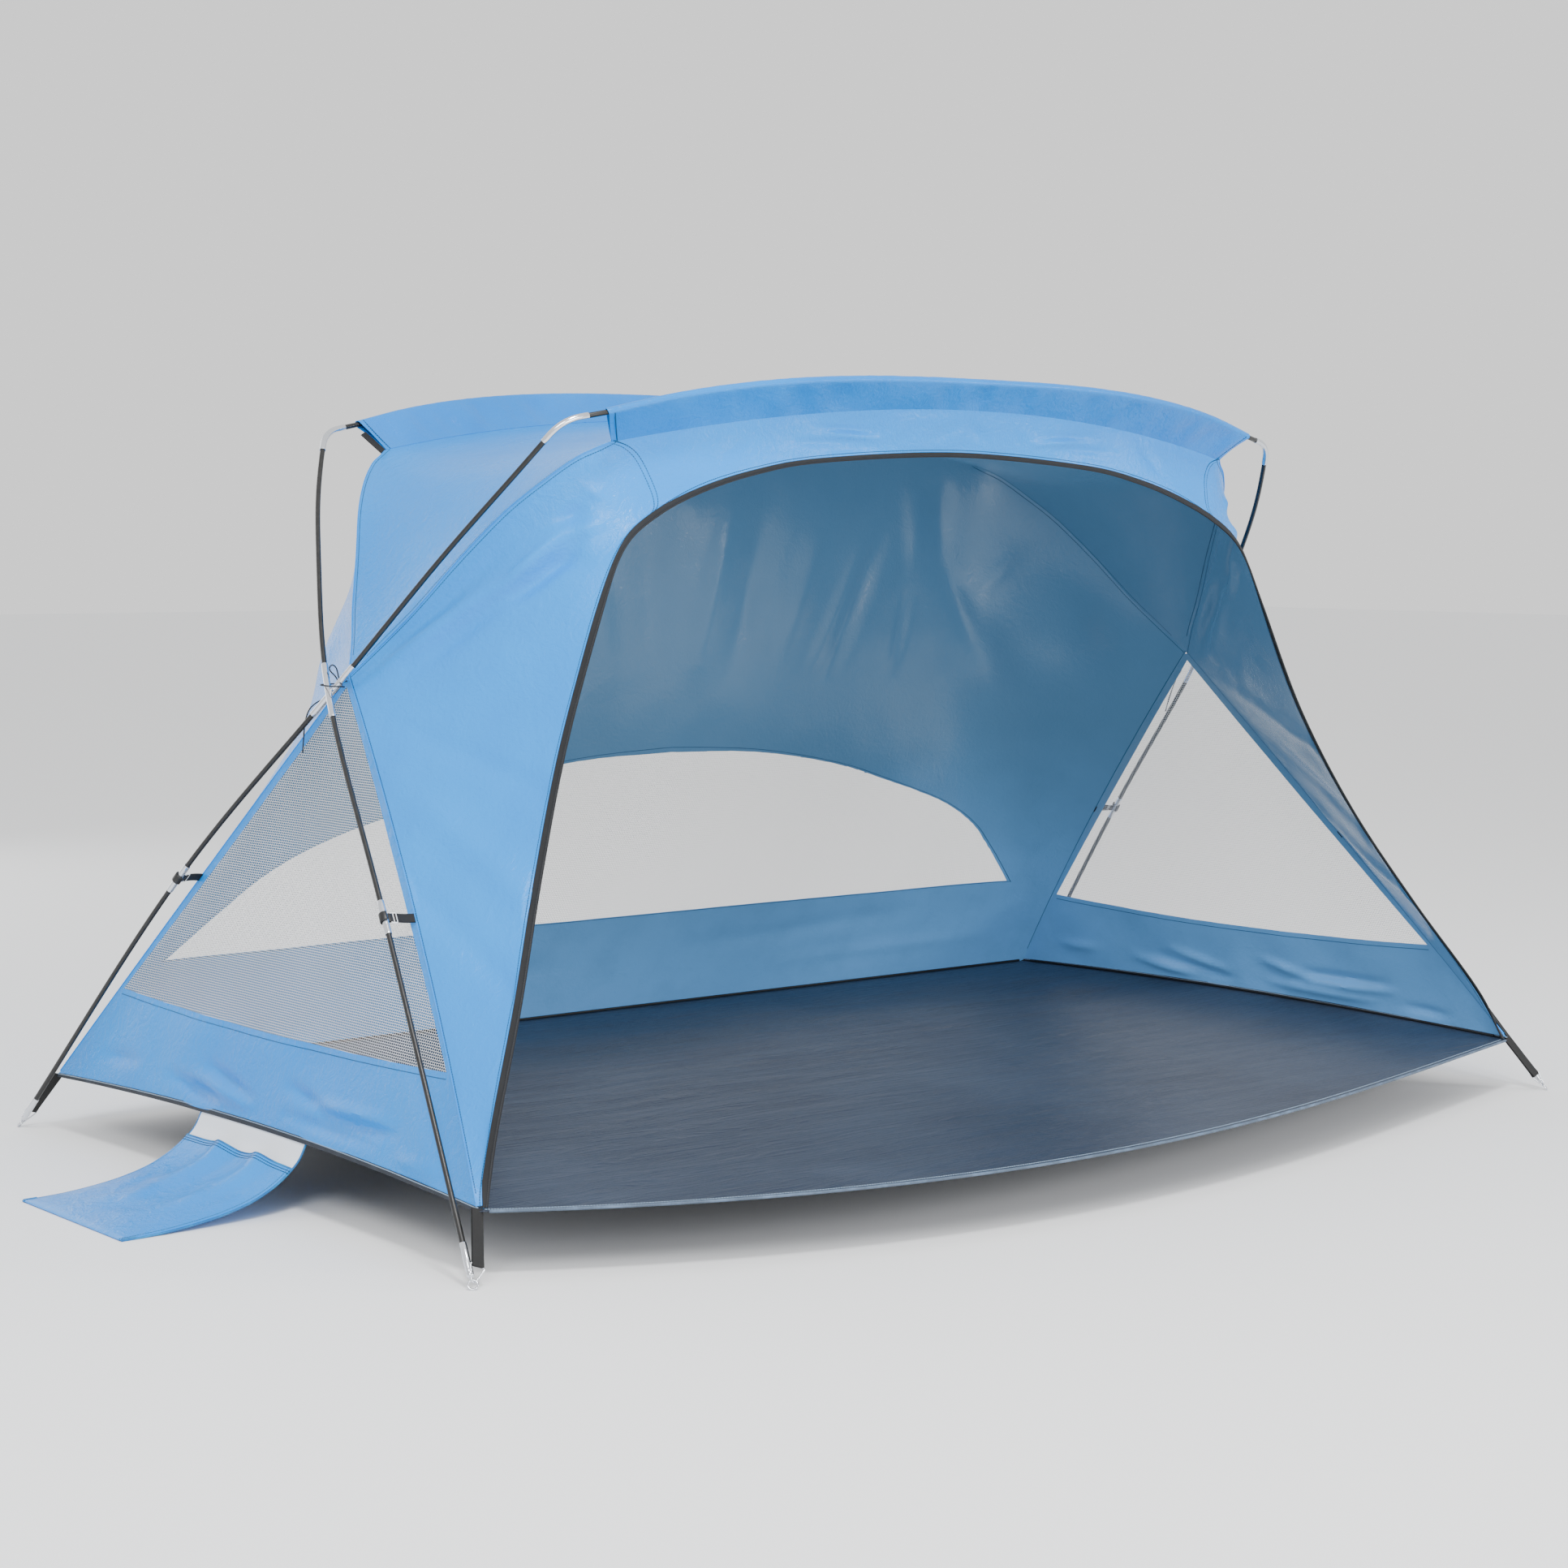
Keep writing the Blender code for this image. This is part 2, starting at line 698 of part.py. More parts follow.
def make_tip(name, eye, up, across):
    """A steel cap on a pole's end, turned, with a wire eye under it."""
    start = eye_radius + eye_wire
    shoulder = start + tip_neck
    profile = [
        (ferrule_radius, shoulder + tip_length),
        (ferrule_radius, shoulder + tip_neck / 2),
        (ferrule_radius * tip_shoulder_share, shoulder),
        (tip_neck_radius, shoulder - tip_neck / 2),
        (tip_neck_radius, start - eye_wire),
        (0, start - eye_wire),
    ]
    inner = [(0, shoulder + tip_floor), (ferrule_bore, shoulder + tip_floor), (ferrule_bore, shoulder + tip_length)]
    outline = profile + inner
    data = bpy.data.meshes.new(name)
    count = len(outline)
    edges = [(k, k + 1) for k in range(count - 1) if k != len(profile) - 1] + [(count - 1, 0)]
    data.from_pydata([(r, 0, z) for r, z in outline], edges, [])
    item = place(name, data, steel)
    turn = item.modifiers.new("turn", "SCREW")
    turn.steps = turn.render_steps = 10
    turn.use_merge_vertices = True
    turn.merge_threshold = 0.00005
    cap = made_mesh(item)
    bpy.ops.mesh.primitive_torus_add(
        major_segments=14,
        minor_segments=6,
        major_radius=eye_radius,
        minor_radius=eye_wire,
        rotation=(math.pi / 2, 0, 0),
    )
    loop = bpy.context.object
    loop.name = f"{name}_eye"
    for home in loop.users_collection:
        home.objects.unlink(loop)
    cutters.objects.link(loop)
    as_cutter(loop)
    x_axis = across
    y_axis = up.cross(x_axis)
    spot = Matrix.Translation(eye) @ Matrix((x_axis, y_axis, up)).transposed().to_4x4()
    loop.matrix_world = spot @ loop.matrix_world
    cap.matrix_world = spot
    cap.data.materials.clear()
    cap.data.materials.append(steel)
    join = cap.modifiers.new("eye", "BOOLEAN")
    join.operation = "UNION"
    join.solver = "EXACT"
    join.object = loop
    return cap


def make_foot(label, sign_x, sign_y, points, total):
    """The tip, ring and strap of one corner."""
    eye = foot_eye(sign_x, sign_y)
    from_left = sign_x < 0
    other = at_length(points, total, tip_length if from_left else total[-1] - tip_length)
    up = (other - eye).normalized()
    hem = Vector((sign_x * corner.x, sign_y * corner.y, corner.z))
    to_hem = (hem - eye).normalized()
    across = (to_hem - up * to_hem.dot(up)).normalized()
    wide = up.cross(across)
    lean = up * math.cos(ring_lean) + across * math.sin(ring_lean)
    make_tip(f"pole_tip_{label}", eye, up, across)

    nose_at = eye_radius - eye_wire - ring_wire - fit_gap
    loop = []
    for k in range(7):
        turn = math.radians(-75 + 25 * k)
        loop.append((nose_at + ring_nose - ring_nose * math.cos(turn), ring_nose * math.sin(turn)))
    bar_at = ring_length
    loop += [
        (bar_at - ring_corner, ring_half_width),
        (bar_at - ring_corner * 0.3, ring_half_width - ring_corner * 0.3),
        (bar_at, ring_half_width - ring_corner * 0.9),
        (bar_at, -ring_half_width + ring_corner * 0.9),
        (bar_at - ring_corner * 0.3, -ring_half_width + ring_corner * 0.3),
        (bar_at - ring_corner, -ring_half_width),
    ]
    ring = [eye + lean * a + wide * b for a, b in loop]
    place(f"foot_ring_{label}", path_curve(f"foot_ring_{label}", ring, ring_wire, 1, False, True), steel)

    bar = eye + lean * bar_at
    pull = (hem - bar).normalized()
    side = pull.cross(wide)
    around = ring_wire + fit_gap + strap_cloth / 2
    run = (hem - bar).length - cloth * 1.4
    line = [bar + pull * run + side * (strap_cloth * 0.75)]
    for k in range(9):
        turn = math.radians(90 + 22.5 * k)
        line.append(bar + pull * around * math.cos(turn) + side * around * math.sin(turn))
    line.append(bar + pull * run - side * (strap_cloth * 0.75))
    near_bar = strap_width * 0.8
    line.insert(1, bar + pull * near_bar + side * (strap_cloth * 0.9))
    line.insert(-1, bar + pull * near_bar - side * (strap_cloth * 0.9))
    rows = [[p - wide * strap_width / 2, p + wide * strap_width / 2] for p in line]
    sheet(f"corner_strap_{label}", [rows], strap_cloth, black_web)


def nearest_seam(spot, sign_x, sign_y):
    """The point of a side seam that is nearest to a spot."""
    best = None
    for k in range(201):
        p = seam_line(k / 200)
        p = Vector((sign_x * p.x, sign_y * p.y, p.z))
        if best is None or (p - spot).length < (best - spot).length:
            best = p
    return best


def make_clip(label, sign_x, sign_y, points, total, clip_at):
    """A hook round the pole's ferrule, with a webbing tab to the side seam."""
    spot = at_length(points, total, clip_at)
    ahead = at_length(points, total, clip_at + clip_width / 2)
    along = (ahead - at_length(points, total, clip_at - clip_width / 2)).normalized()
    seam = nearest_seam(spot, sign_x, sign_y)
    to_seam = seam - spot
    to_seam -= along * to_seam.dot(along)
    reach = to_seam.length - cloth * 1.2
    x_axis = to_seam.normalized()
    inner = ferrule_radius + fit_gap
    outer = inner + clip_wall
    half = clip_tab / 2
    start = math.asin(half / outer)
    outline = [(reach, -half), (reach, half)]
    last = math.pi * 2 - clip_mouth - start * 2
    turns = [start + last * k / 12 for k in range(13)]
    outline += [(outer * math.cos(a), outer * math.sin(a)) for a in turns]
    outline += [(inner * math.cos(a), inner * math.sin(a)) for a in turns[::-1][:-1]]
    root = math.asin(half / inner)
    outline += [(inner * math.cos(root), inner * math.sin(root)), (inner * math.cos(root), -half)]
    data = bpy.data.curves.new(f"pole_clip_{label}", "CURVE")
    data.dimensions = "2D"
    data.fill_mode = "BOTH"
    data.extrude = clip_width / 2
    spline = data.splines.new("POLY")
    spline.points.add(len(outline) - 1)
    for mark, (a, b) in zip(spline.points, outline):
        mark.co = (a, b, 0, 1)
    spline.use_cyclic_u = True
    item = place(f"pole_clip_{label}", data, plastic)
    y_axis = along.cross(x_axis)
    item.matrix_world = Matrix.Translation(spot) @ Matrix((x_axis, y_axis, along)).transposed().to_4x4()
    return item


# The tie's route on the right, from the middle of the crossing: out of the canopy's apex, once
# round both poles, up in a loop, and down as a tail.
tie_route = [
    (-0.0300, 0.0, 0.0150),
    (-0.0240, 0.0050, 0.0125),
    (-0.0190, 0.0120, 0.0105),
    (-0.0120, 0.0170, 0.0100),
    (-0.0040, 0.0180, 0.0098),
    (0.0045, 0.0165, 0.0095),
    (0.0095, 0.0110, 0.0092),
    (0.0110, 0.0, 0.0090),
    (0.0095, -0.0110, 0.0086),
    (0.0045, -0.0165, 0.0082),
    (-0.0040, -0.0180, 0.0078),
    (-0.0120, -0.0165, 0.0072),
    (-0.0180, -0.0110, 0.0066),
    (-0.0210, -0.0030, 0.0062),
    (-0.0220, 0.0050, 0.0080),
    (-0.0200, 0.0090, 0.0140),
    (-0.0160, 0.0120, 0.0220),
    (-0.0105, 0.0155, 0.0310),
    (-0.0085, 0.0160, 0.0350),
    (-0.0115, 0.0140, 0.0365),
    (-0.0165, 0.0120, 0.0320),
    (-0.0220, 0.0130, 0.0220),
    (-0.0245, 0.0130, 0.0120),
    (-0.0235, 0.0140, 0.0030),
    (-0.0190, 0.0200, -0.0050),
    (-0.0110, 0.0310, -0.0120),
    (-0.0020, 0.0430, -0.0190),
    (0.0030, 0.0560, -0.0300),
    (0.0040, 0.0670, -0.0490),
    (0.0020, 0.0750, -0.0720),
    (0.0, 0.0820, -0.0970),
]


def make_tie(side, sign):
    """The cord at a pole crossing."""
    middle = apex + Vector((cross_out, 0, -cross_drop))
    points = [middle + Vector(p) for p in tie_route]
    rod(f"apex_tie_{side}", [Vector((sign * p.x, p.y, p.z)) for p in points], tie_radius, tie_cord)


def make_pocket(side, sign):
    """A sand pocket: a flap below the side hem, doubled back over itself, whose mouth stands open."""
    root = pocket_root()
    out = pocket_reach
    drop = root.z - pocket_cloth * 0.75
    low = [
        Vector((root.x + out * a, 0, root.z - drop * b))
        for a, b in zip(pocket_out_shares, pocket_drop_shares)
    ]
    grain = curve_through(low, 2)
    total = lengths(grain)
    mouth = total[-1] * pocket_mouth_share
    rows = []
    for v, crest in zip(pocket_station_shares, pocket_crest_shares):
        y = v * pocket_width / 2
        row = [Vector((p.x, y, p.z)) for p in grain]
        side_share = 1 - v**4
        back = []
        for p, s in zip(grain[::-1], total[::-1]):
            if s < mouth:
                continue
            near = (total[-1] - s) / (total[-1] - mouth)
            k = grain.index(p)
            along = (grain[min(k + 1, len(grain) - 1)] - grain[max(k - 1, 0)]).normalized()
            up = Vector((-along.z, 0, along.x))
            lift = pocket_cloth + seam_gap
            lift += side_share * pocket_bulge * math.sin(math.pi * min(1, near * 1.1) ** 0.8)
            lift += crest * pocket_lip * near**1.5
            back.append(Vector((p.x, y, p.z)) + up * lift)
        back[0] += (grain[-1] - grain[-2]).normalized() * pocket_cloth / 2
        dip = hem_lift * (y / (floor_depth / 2)) ** 2
        drops = [dip * max(0, 1 - s / mouth) for s in total]
        row = [p - Vector((0, 0, d)) for p, d in zip(row, drops)]
        rows.append([Vector((sign * (p.x - root.x), p.y, p.z - root.z)) for p in row + back])
    item = sheet(f"sand_pocket_{side}", [rows], pocket_cloth, blue_cloth)
    item.location = (sign * root.x, 0, root.z)


def pocket_root():
    """The hinge line of the right sand pocket, just under the side hem."""
    return Vector((floor_width / 2 - hem_pull, 0, floor_height + hem_lift - cloth * 1.35))


def make_sleeve(name, sign_y, points, total):
    """A folded strip of cloth along a ridge, with a tunnel at its top for the pole."""
    rows = []
    steps = [-u for u in ridge_shares[:0:-1]] + [*ridge_shares]
    top = [p for p in points if abs(p.x) < sleeve_end.x + cloth and p.z > sleeve_end.z - cloth]
    top_x = [p.x for p in top]
    for u in steps:
        base = ridge_line(abs(u))
        base = Vector((base.x * (1 if u >= 0 else -1), sign_y * base.y, base.z))
        x = sleeve_end.x * u
        crown = Vector((x, np.interp(x, top_x, [p.y for p in top]), np.interp(x, top_x, [p.z for p in top])))
        rise = crown - base
        height = rise.length
        up = rise.normalized()
        along = (Vector((1, 0, 0)) - up * up.x).normalized()
        away = up.cross(along)
        r = sleeve_radius
        g = sleeve_layer_gap
        neck = height - r * 1.05
        profile = [(-g, 0), (-g, neck * 0.55), (-g, neck)]
        for k in range(8):
            turn = math.radians(-150 + 300 * k / 7)
            profile.append((r * math.sin(turn), height + r * math.cos(turn)))
        profile += [(g, neck), (g, neck * 0.55), (g, 0)]
        rows.append([base + away * n + up * h for n, h in profile])
    return sheet(name, [rows], sleeve_cloth, blue_cloth)


front_pole = make_pole("front_ridge_pole", 1, -1)
rear_pole = make_pole("rear_ridge_pole", -1, 1)
for side_name, side_sign in SIDES:
    make_foot(f"rear_{side_name}", side_sign, 1, front_pole[0], front_pole[1])
    make_foot(f"front_{side_name}", side_sign, -1, rear_pole[0], rear_pole[1])
    make_clip(f"rear_{side_name}", side_sign, 1, front_pole[0], front_pole[1], front_pole[2][side_name][0])
    make_clip(f"front_{side_name}", side_sign, -1, rear_pole[0], rear_pole[1], rear_pole[2][side_name][0])
    make_side_wall(side_name, side_sign)
    make_tie(side_name, side_sign)
    make_pocket(side_name, side_sign)
make_roof()
make_front_panel()
make_door_zip()
make_rear_wall()
make_floor()
make_sleeve("front_sleeve", -1, front_pole[0], front_pole[1])
make_sleeve("rear_sleeve", 1, rear_pole[0], rear_pole[1])


def rest_on_ground():
    """Moves everything so that the origin is on the ground, below the middle of the whole tent."""
    bpy.context.view_layer.update()
    graph = bpy.context.evaluated_depsgraph_get()
    spots = []
    for item in tent.objects:
        shape = item.evaluated_get(graph)
        spots += [item.matrix_world @ v.co for v in shape.to_mesh().vertices]
        shape.to_mesh_clear()
    spots = np.array([tuple(p) for p in spots])
    low, high = spots.min(axis=0), spots.max(axis=0)
    shift = Vector((0, -(low[1] + high[1]) / 2, -low[2]))
    for item in [*tent.objects, *cutters.objects]:
        item.matrix_world = Matrix.Translation(shift) @ item.matrix_world


rest_on_ground()
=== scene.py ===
import math

import bmesh
import bpy
import numpy as np
from mathutils import Matrix, Vector, noise


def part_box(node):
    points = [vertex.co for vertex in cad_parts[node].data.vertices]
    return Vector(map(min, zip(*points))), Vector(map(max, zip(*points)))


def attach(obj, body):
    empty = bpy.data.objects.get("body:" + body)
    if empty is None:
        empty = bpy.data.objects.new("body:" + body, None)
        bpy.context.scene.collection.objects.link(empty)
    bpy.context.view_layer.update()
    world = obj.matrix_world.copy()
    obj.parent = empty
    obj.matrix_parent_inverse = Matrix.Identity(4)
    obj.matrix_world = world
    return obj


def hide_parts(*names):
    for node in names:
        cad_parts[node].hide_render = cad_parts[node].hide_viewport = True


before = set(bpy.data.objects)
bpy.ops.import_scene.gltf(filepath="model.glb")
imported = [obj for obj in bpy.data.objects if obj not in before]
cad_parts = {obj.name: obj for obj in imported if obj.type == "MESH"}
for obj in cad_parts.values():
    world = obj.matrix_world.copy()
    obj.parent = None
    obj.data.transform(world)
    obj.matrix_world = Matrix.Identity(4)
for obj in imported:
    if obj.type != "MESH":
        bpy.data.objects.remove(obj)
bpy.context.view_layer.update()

sideLow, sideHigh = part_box("side_panel_left")
middleY = (sideLow.y + sideHigh.y) / 2  # the poles and canopy mirror about this line
sides = (("left", -1), ("right", 1))
print("frame loaded, middle at y", round(middleY, 4))

# Camera, at the place that the photograph was taken from, given from the tent's middle line.
shot = {
    "place": (-3.22671, -3.85057, 0.97670),
    "azimuth": -0.686970555,
    "elevation": 0.0830795750,
    "roll": 0.00532558852,
    "focalPixels": 3644,
    "framePixels": 1932,
    "sensor": 36,
}


def makeCamera():
    az, el, roll = shot["azimuth"], shot["elevation"], shot["roll"]
    back = Vector((math.sin(az) * math.cos(el), -math.cos(az) * math.cos(el), math.sin(el)))
    right = Vector((math.cos(az), math.sin(az), 0))
    up = back.cross(right)
    across = math.cos(roll) * right + math.sin(roll) * up
    above = math.cos(roll) * up - math.sin(roll) * right
    lens = bpy.data.cameras.new("camera")
    lens.sensor_width = shot["sensor"]
    lens.lens = shot["focalPixels"] / shot["framePixels"] * shot["sensor"]
    lens.clip_start, lens.clip_end = 0.1, 100
    camera = bpy.data.objects.new("camera", lens)
    turn = Matrix((across, above, back)).transposed().to_4x4()
    x, y, z = shot["place"]
    camera.matrix_world = Matrix.Translation((x, y + middleY, z)) @ turn
    bpy.context.scene.collection.objects.link(camera)
    bpy.context.scene.camera = camera


makeCamera()

# Sizes of the canopy in metres, from the middle line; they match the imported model.
canopy = {
    "floorWidth": 2.20,
    "floorDepth": 1.248,
    "floorHeight": 0.088,
    "porchReach": 0.242,
    "porchLean": 0.4,
    "hemPull": 0.014,
    "hemLift": 0.014,
    "apexWidth": 1.83,
    "apexHeight": 0.766,
    "seamBow": 0.013,
    "ridgeWidth": 1.31,
    "ridgeDepth": 0.624,
    "ridgeEndHeight": 1.116,
    "ridgeRise": 0.065,
    "ridgeBow": 0.055,
    "roofSag": 0.030,
    "doorHeight": 1.106,
    "doorSeamHeight": 1.000,
    "doorSeamWidth": 1.216,
    "foldTuck": 0.014,
    "doorWidths": (0.985, 0.954, 0.871, 0.793, 0.72, 0.649, 0.606, 0.553, 0.475, 0.377, 0.255, 0),
    "doorHeights": (0, 0.088, 0.243, 0.406, 0.579, 0.759, 0.852, 0.898, 0.935, 0.965, 0.986, 1),
    "doorDepths": (1, 0.955, 0.835, 0.716, 0.63, 0.591, 0.575, 0.567, 0.56, 0.559, 0.559, 0.558),
    "hipAcross": (0, 0.069, 0.169, 0.3, 0.446, 0.604, 0.762, 0.885, 1),
    "hipDepth": (0, 0.045, 0.096, 0.192, 0.34, 0.532, 0.712, 0.872, 1),
    "hipDrop": (0, 0.026, 0.069, 0.16, 0.291, 0.491, 0.709, 0.869, 1),
}
corner = Vector((canopy["floorWidth"] / 2, canopy["floorDepth"] / 2, canopy["floorHeight"]))
apex = Vector((canopy["apexWidth"] / 2, 0, canopy["apexHeight"]))
ridgeEnd = Vector((canopy["ridgeWidth"] / 2, canopy["ridgeDepth"] / 2, canopy["ridgeEndHeight"]))


def curveThrough(points, steps):
    pts = [Vector(p) for p in points]
    pts = [2 * pts[0] - pts[1], *pts, 2 * pts[-1] - pts[-2]]
    made = []
    for a, b, c, d in zip(pts, pts[1:], pts[2:], pts[3:]):
        for k in range(steps):
            t = k / steps
            cubic = (b * 3 - a - c * 3 + d) * t**3
            made.append((b * 2 + (c - a) * t + (a * 2 - b * 5 + c * 4 - d) * t**2 + cubic) / 2)
    made.append(pts[-2])
    return made


def runs(points):
    total = [0.0]
    for a, b in zip(points, points[1:]):
        total.append(total[-1] + (b - a).length)
    return total


def alongLine(points, total, s):
    s = min(max(s, 0.0), total[-1])
    k = min(max(int(np.searchsorted(total, s)), 1), len(points) - 1)
    share = (s - total[k - 1]) / (total[k] - total[k - 1])
    return points[k - 1].lerp(points[k], share)


def stretchOf(points, total, low, high):
    inner = [p for p, s in zip(points, total) if low + 0.0008 < s < high - 0.0008]
    return [alongLine(points, total, low), *inner, alongLine(points, total, high)]


def evenly(points, count):
    total = runs(points)
    return [alongLine(points, total, total[-1] * k / (count - 1)) for k in range(count)]


def seamLine(t):  # side seam, from the apex to the floor's corner
    bow = 4 * t * (1 - t) * canopy["seamBow"]
    return apex.lerp(corner, t) + Vector((-bow / 2, bow, 0))


hipShares = zip(canopy["hipAcross"], canopy["hipDepth"], canopy["hipDrop"])
hipWay = apex - ridgeEnd
hipPoints = curveThrough([ridgeEnd + Vector(a * b for a, b in zip(hipWay, s)) for s in hipShares], 8)


def hipLine(t):  # hip seam, from the ridge's end to the apex
    place = t * (len(hipPoints) - 1)
    k = min(int(place), len(hipPoints) - 2)
    return hipPoints[k].lerp(hipPoints[k + 1], place - k)


def ridgeLine(u):  # ridge seam, from the middle to its end
    flat = 1 - u * u
    y = ridgeEnd.y + canopy["ridgeBow"] * flat
    return Vector((ridgeEnd.x * u, y, ridgeEnd.z + canopy["ridgeRise"] * flat))


doorRise = canopy["doorHeight"] - canopy["floorHeight"]
doorShares = zip(canopy["doorWidths"], canopy["doorDepths"], canopy["doorHeights"])
doorSpots = [Vector((corner.x * a, corner.y * b, corner.z + doorRise * c)) for a, b, c in doorShares]
beyond = Vector((-doorSpots[-2].x, *doorSpots[-2].yz))  # so that the curve runs level over the middle
doorCurve = curveThrough([*doorSpots, beyond], 12)[:-12]


def doorEdge(height):
    heights = [p.z for p in doorCurve]
    return Vector([np.interp(height, heights, [p[k] for p in doorCurve]) for k in range(3)])


def doorTop(x):
    across = [p.x for p in doorCurve[::-1]]
    return Vector([np.interp(x, across, [p[k] for p in doorCurve[::-1]]) for k in range(3)])


# Steps along the panels: how many rows the ridge, the hip and the side seam take.
weave = {"ridgeRows": 26, "hipRows": 26, "seamRows": 44, "bandColumns": 22, "seamStop": 0.991}


def panelPairs(seamStop=None):
    # outer seam and doorway edge, row by row, from the middle of the ridge down to the corner
    pairs = []
    for k in range(weave["ridgeRows"]):
        u = k / weave["ridgeRows"]
        pairs.append((ridgeLine(u), doorTop(u * canopy["doorSeamWidth"] / 2)))
    high = canopy["doorSeamHeight"]
    for k in range(weave["hipRows"]):
        t = k / weave["hipRows"]
        pairs.append((hipLine(t), doorEdge(high + (apex.z - high) * t)))
    for k in range(weave["seamRows"] + 1):
        outer = seamLine(k / weave["seamRows"] * (seamStop or weave["seamStop"]))
        pairs.append((outer, doorEdge(outer.z)))
    return pairs


def toGrid(rows):
    return np.array([[tuple(p) for p in row] for row in rows], float)


def mirrored(grid):  # the right half's rows, with the left half's before them
    left = grid[:0:-1].copy()
    left[..., 0] *= -1
    return np.concatenate([left, grid])


def flipped(grid):
    other = grid.copy()
    other[..., 1] *= -1
    return other


def relax(grid, times, share=0.8):
    # evens out the inside of a grid, as taut cloth does between its seams
    for _ in range(times):
        around = (grid[:-2, 1:-1] + grid[2:, 1:-1] + grid[1:-1, :-2] + grid[1:-1, 2:]) / 4
        grid[1:-1, 1:-1] += (around - grid[1:-1, 1:-1]) * share
    return grid


def finer(grid):
    # twice as many rows and columns, on the smooth curves through the old ones
    for axis in (0, 1):
        old = np.moveaxis(grid, axis, 0)
        ends = np.concatenate([2 * old[:1] - old[1:2], old, 2 * old[-1:] - old[-2:-1]])
        between = (9 * (ends[1:-2] + ends[2:-1]) - ends[:-3] - ends[3:]) / 16
        made = np.empty((2 * len(old) - 1, *old.shape[1:]))
        made[::2], made[1::2] = old, between
        grid = np.moveaxis(made, 0, axis)
    return grid


def gridNormals(grid):
    down = np.gradient(grid, axis=0)
    across = np.gradient(grid, axis=1)
    normal = np.cross(down, across)
    return normal / np.maximum(np.linalg.norm(normal, axis=2, keepdims=True), 1e-9)


def seamPin(shape, rowShare, columnShare):
    # 0 on the seams and 1 inside, so that puckers die out where the cloth is sewn
    rows = np.linspace(0, 1, shape[0])
    columns = np.linspace(0, 1, shape[1])
    a = np.clip(np.minimum(rows, 1 - rows) / rowShare, 0, 1)
    b = np.clip(np.minimum(columns, 1 - columns) / columnShare, 0, 1)
    a, b = a * a * (3 - 2 * a), b * b * (3 - 2 * b)
    return a[:, None] * b[None, :]


def creases(grid, lines, axes, mirror=False):
    # soft folds: each runs between two points of a plane, with its width and its height in metres
    lift = np.zeros(grid.shape[:2])
    plane = grid[..., list(axes)].copy()
    if mirror:
        plane[..., 0] = np.abs(plane[..., 0])
    for start, end, width, height in lines:
        start, end = np.array(start), np.array(end)
        way = end - start
        t = np.clip(((plane - start) @ way) / (way @ way), 0, 1)
        off = np.linalg.norm(plane - start - t[..., None] * way, axis=2)
        lift += height * np.exp(-((off / width) ** 2)) * (0.3 + 0.7 * np.sin(np.pi * t))
    return lift


def ripples(grid, size, height, seed, stretch=(1, 1, 1)):
    # smooth random waves of a size in metres
    flat = grid.reshape(-1, 3)
    shift = Vector((seed * 7.3, seed * 3.1, seed * 5.7))
    made = [
        noise.noise(Vector((p[0] * stretch[0], p[1] * stretch[1], p[2] * stretch[2])) / size + shift)
        for p in flat
    ]
    return np.array(made).reshape(grid.shape[:2]) * height


# Shader maths: a socket wrapped so that Python expressions add the nodes.
class Wire:
    def __init__(self, tree, socket):
        self.tree = tree
        self.socket = socket

    def math(self, operation, *others):
        return self.tree.node("Math", {"operation": operation}, dict(enumerate((self, *others))))

    def __add__(self, other):
        return self.math("ADD", other)

    __radd__ = __add__

    def __mul__(self, other):
        return self.math("MULTIPLY", other)

    __rmul__ = __mul__

    def __sub__(self, other):
        return self.math("SUBTRACT", other)

    def __rsub__(self, other):
        return self.tree.node("Math", {"operation": "SUBTRACT"}, {0: other, 1: self})

    def __truediv__(self, other):
        return self.math("DIVIDE", other)

    def __lt__(self, other):
        return self.math("LESS_THAN", other)

    def __abs__(self):
        return self.math("ABSOLUTE")

    def fraction(self):
        return self.math("FRACT")

    def floor(self):
        return self.math("FLOOR")

    def smooth(self, low, high):
        settings = {"interpolation_type": "SMOOTHSTEP"}
        return self.tree.node("MapRange", settings, {"Value": self, "From Min": low, "From Max": high})


shaderSockets = {
    "colour": "Base Color",
    "roughness": "Roughness",
    "metallic": "Metallic",
    "alpha": "Alpha",
    "normal": "Normal",
    "coat": "Coat Weight",
    "specular": "Specular IOR Level",
    "glow": "Emission Strength",
    "glowColour": "Emission Color",
}


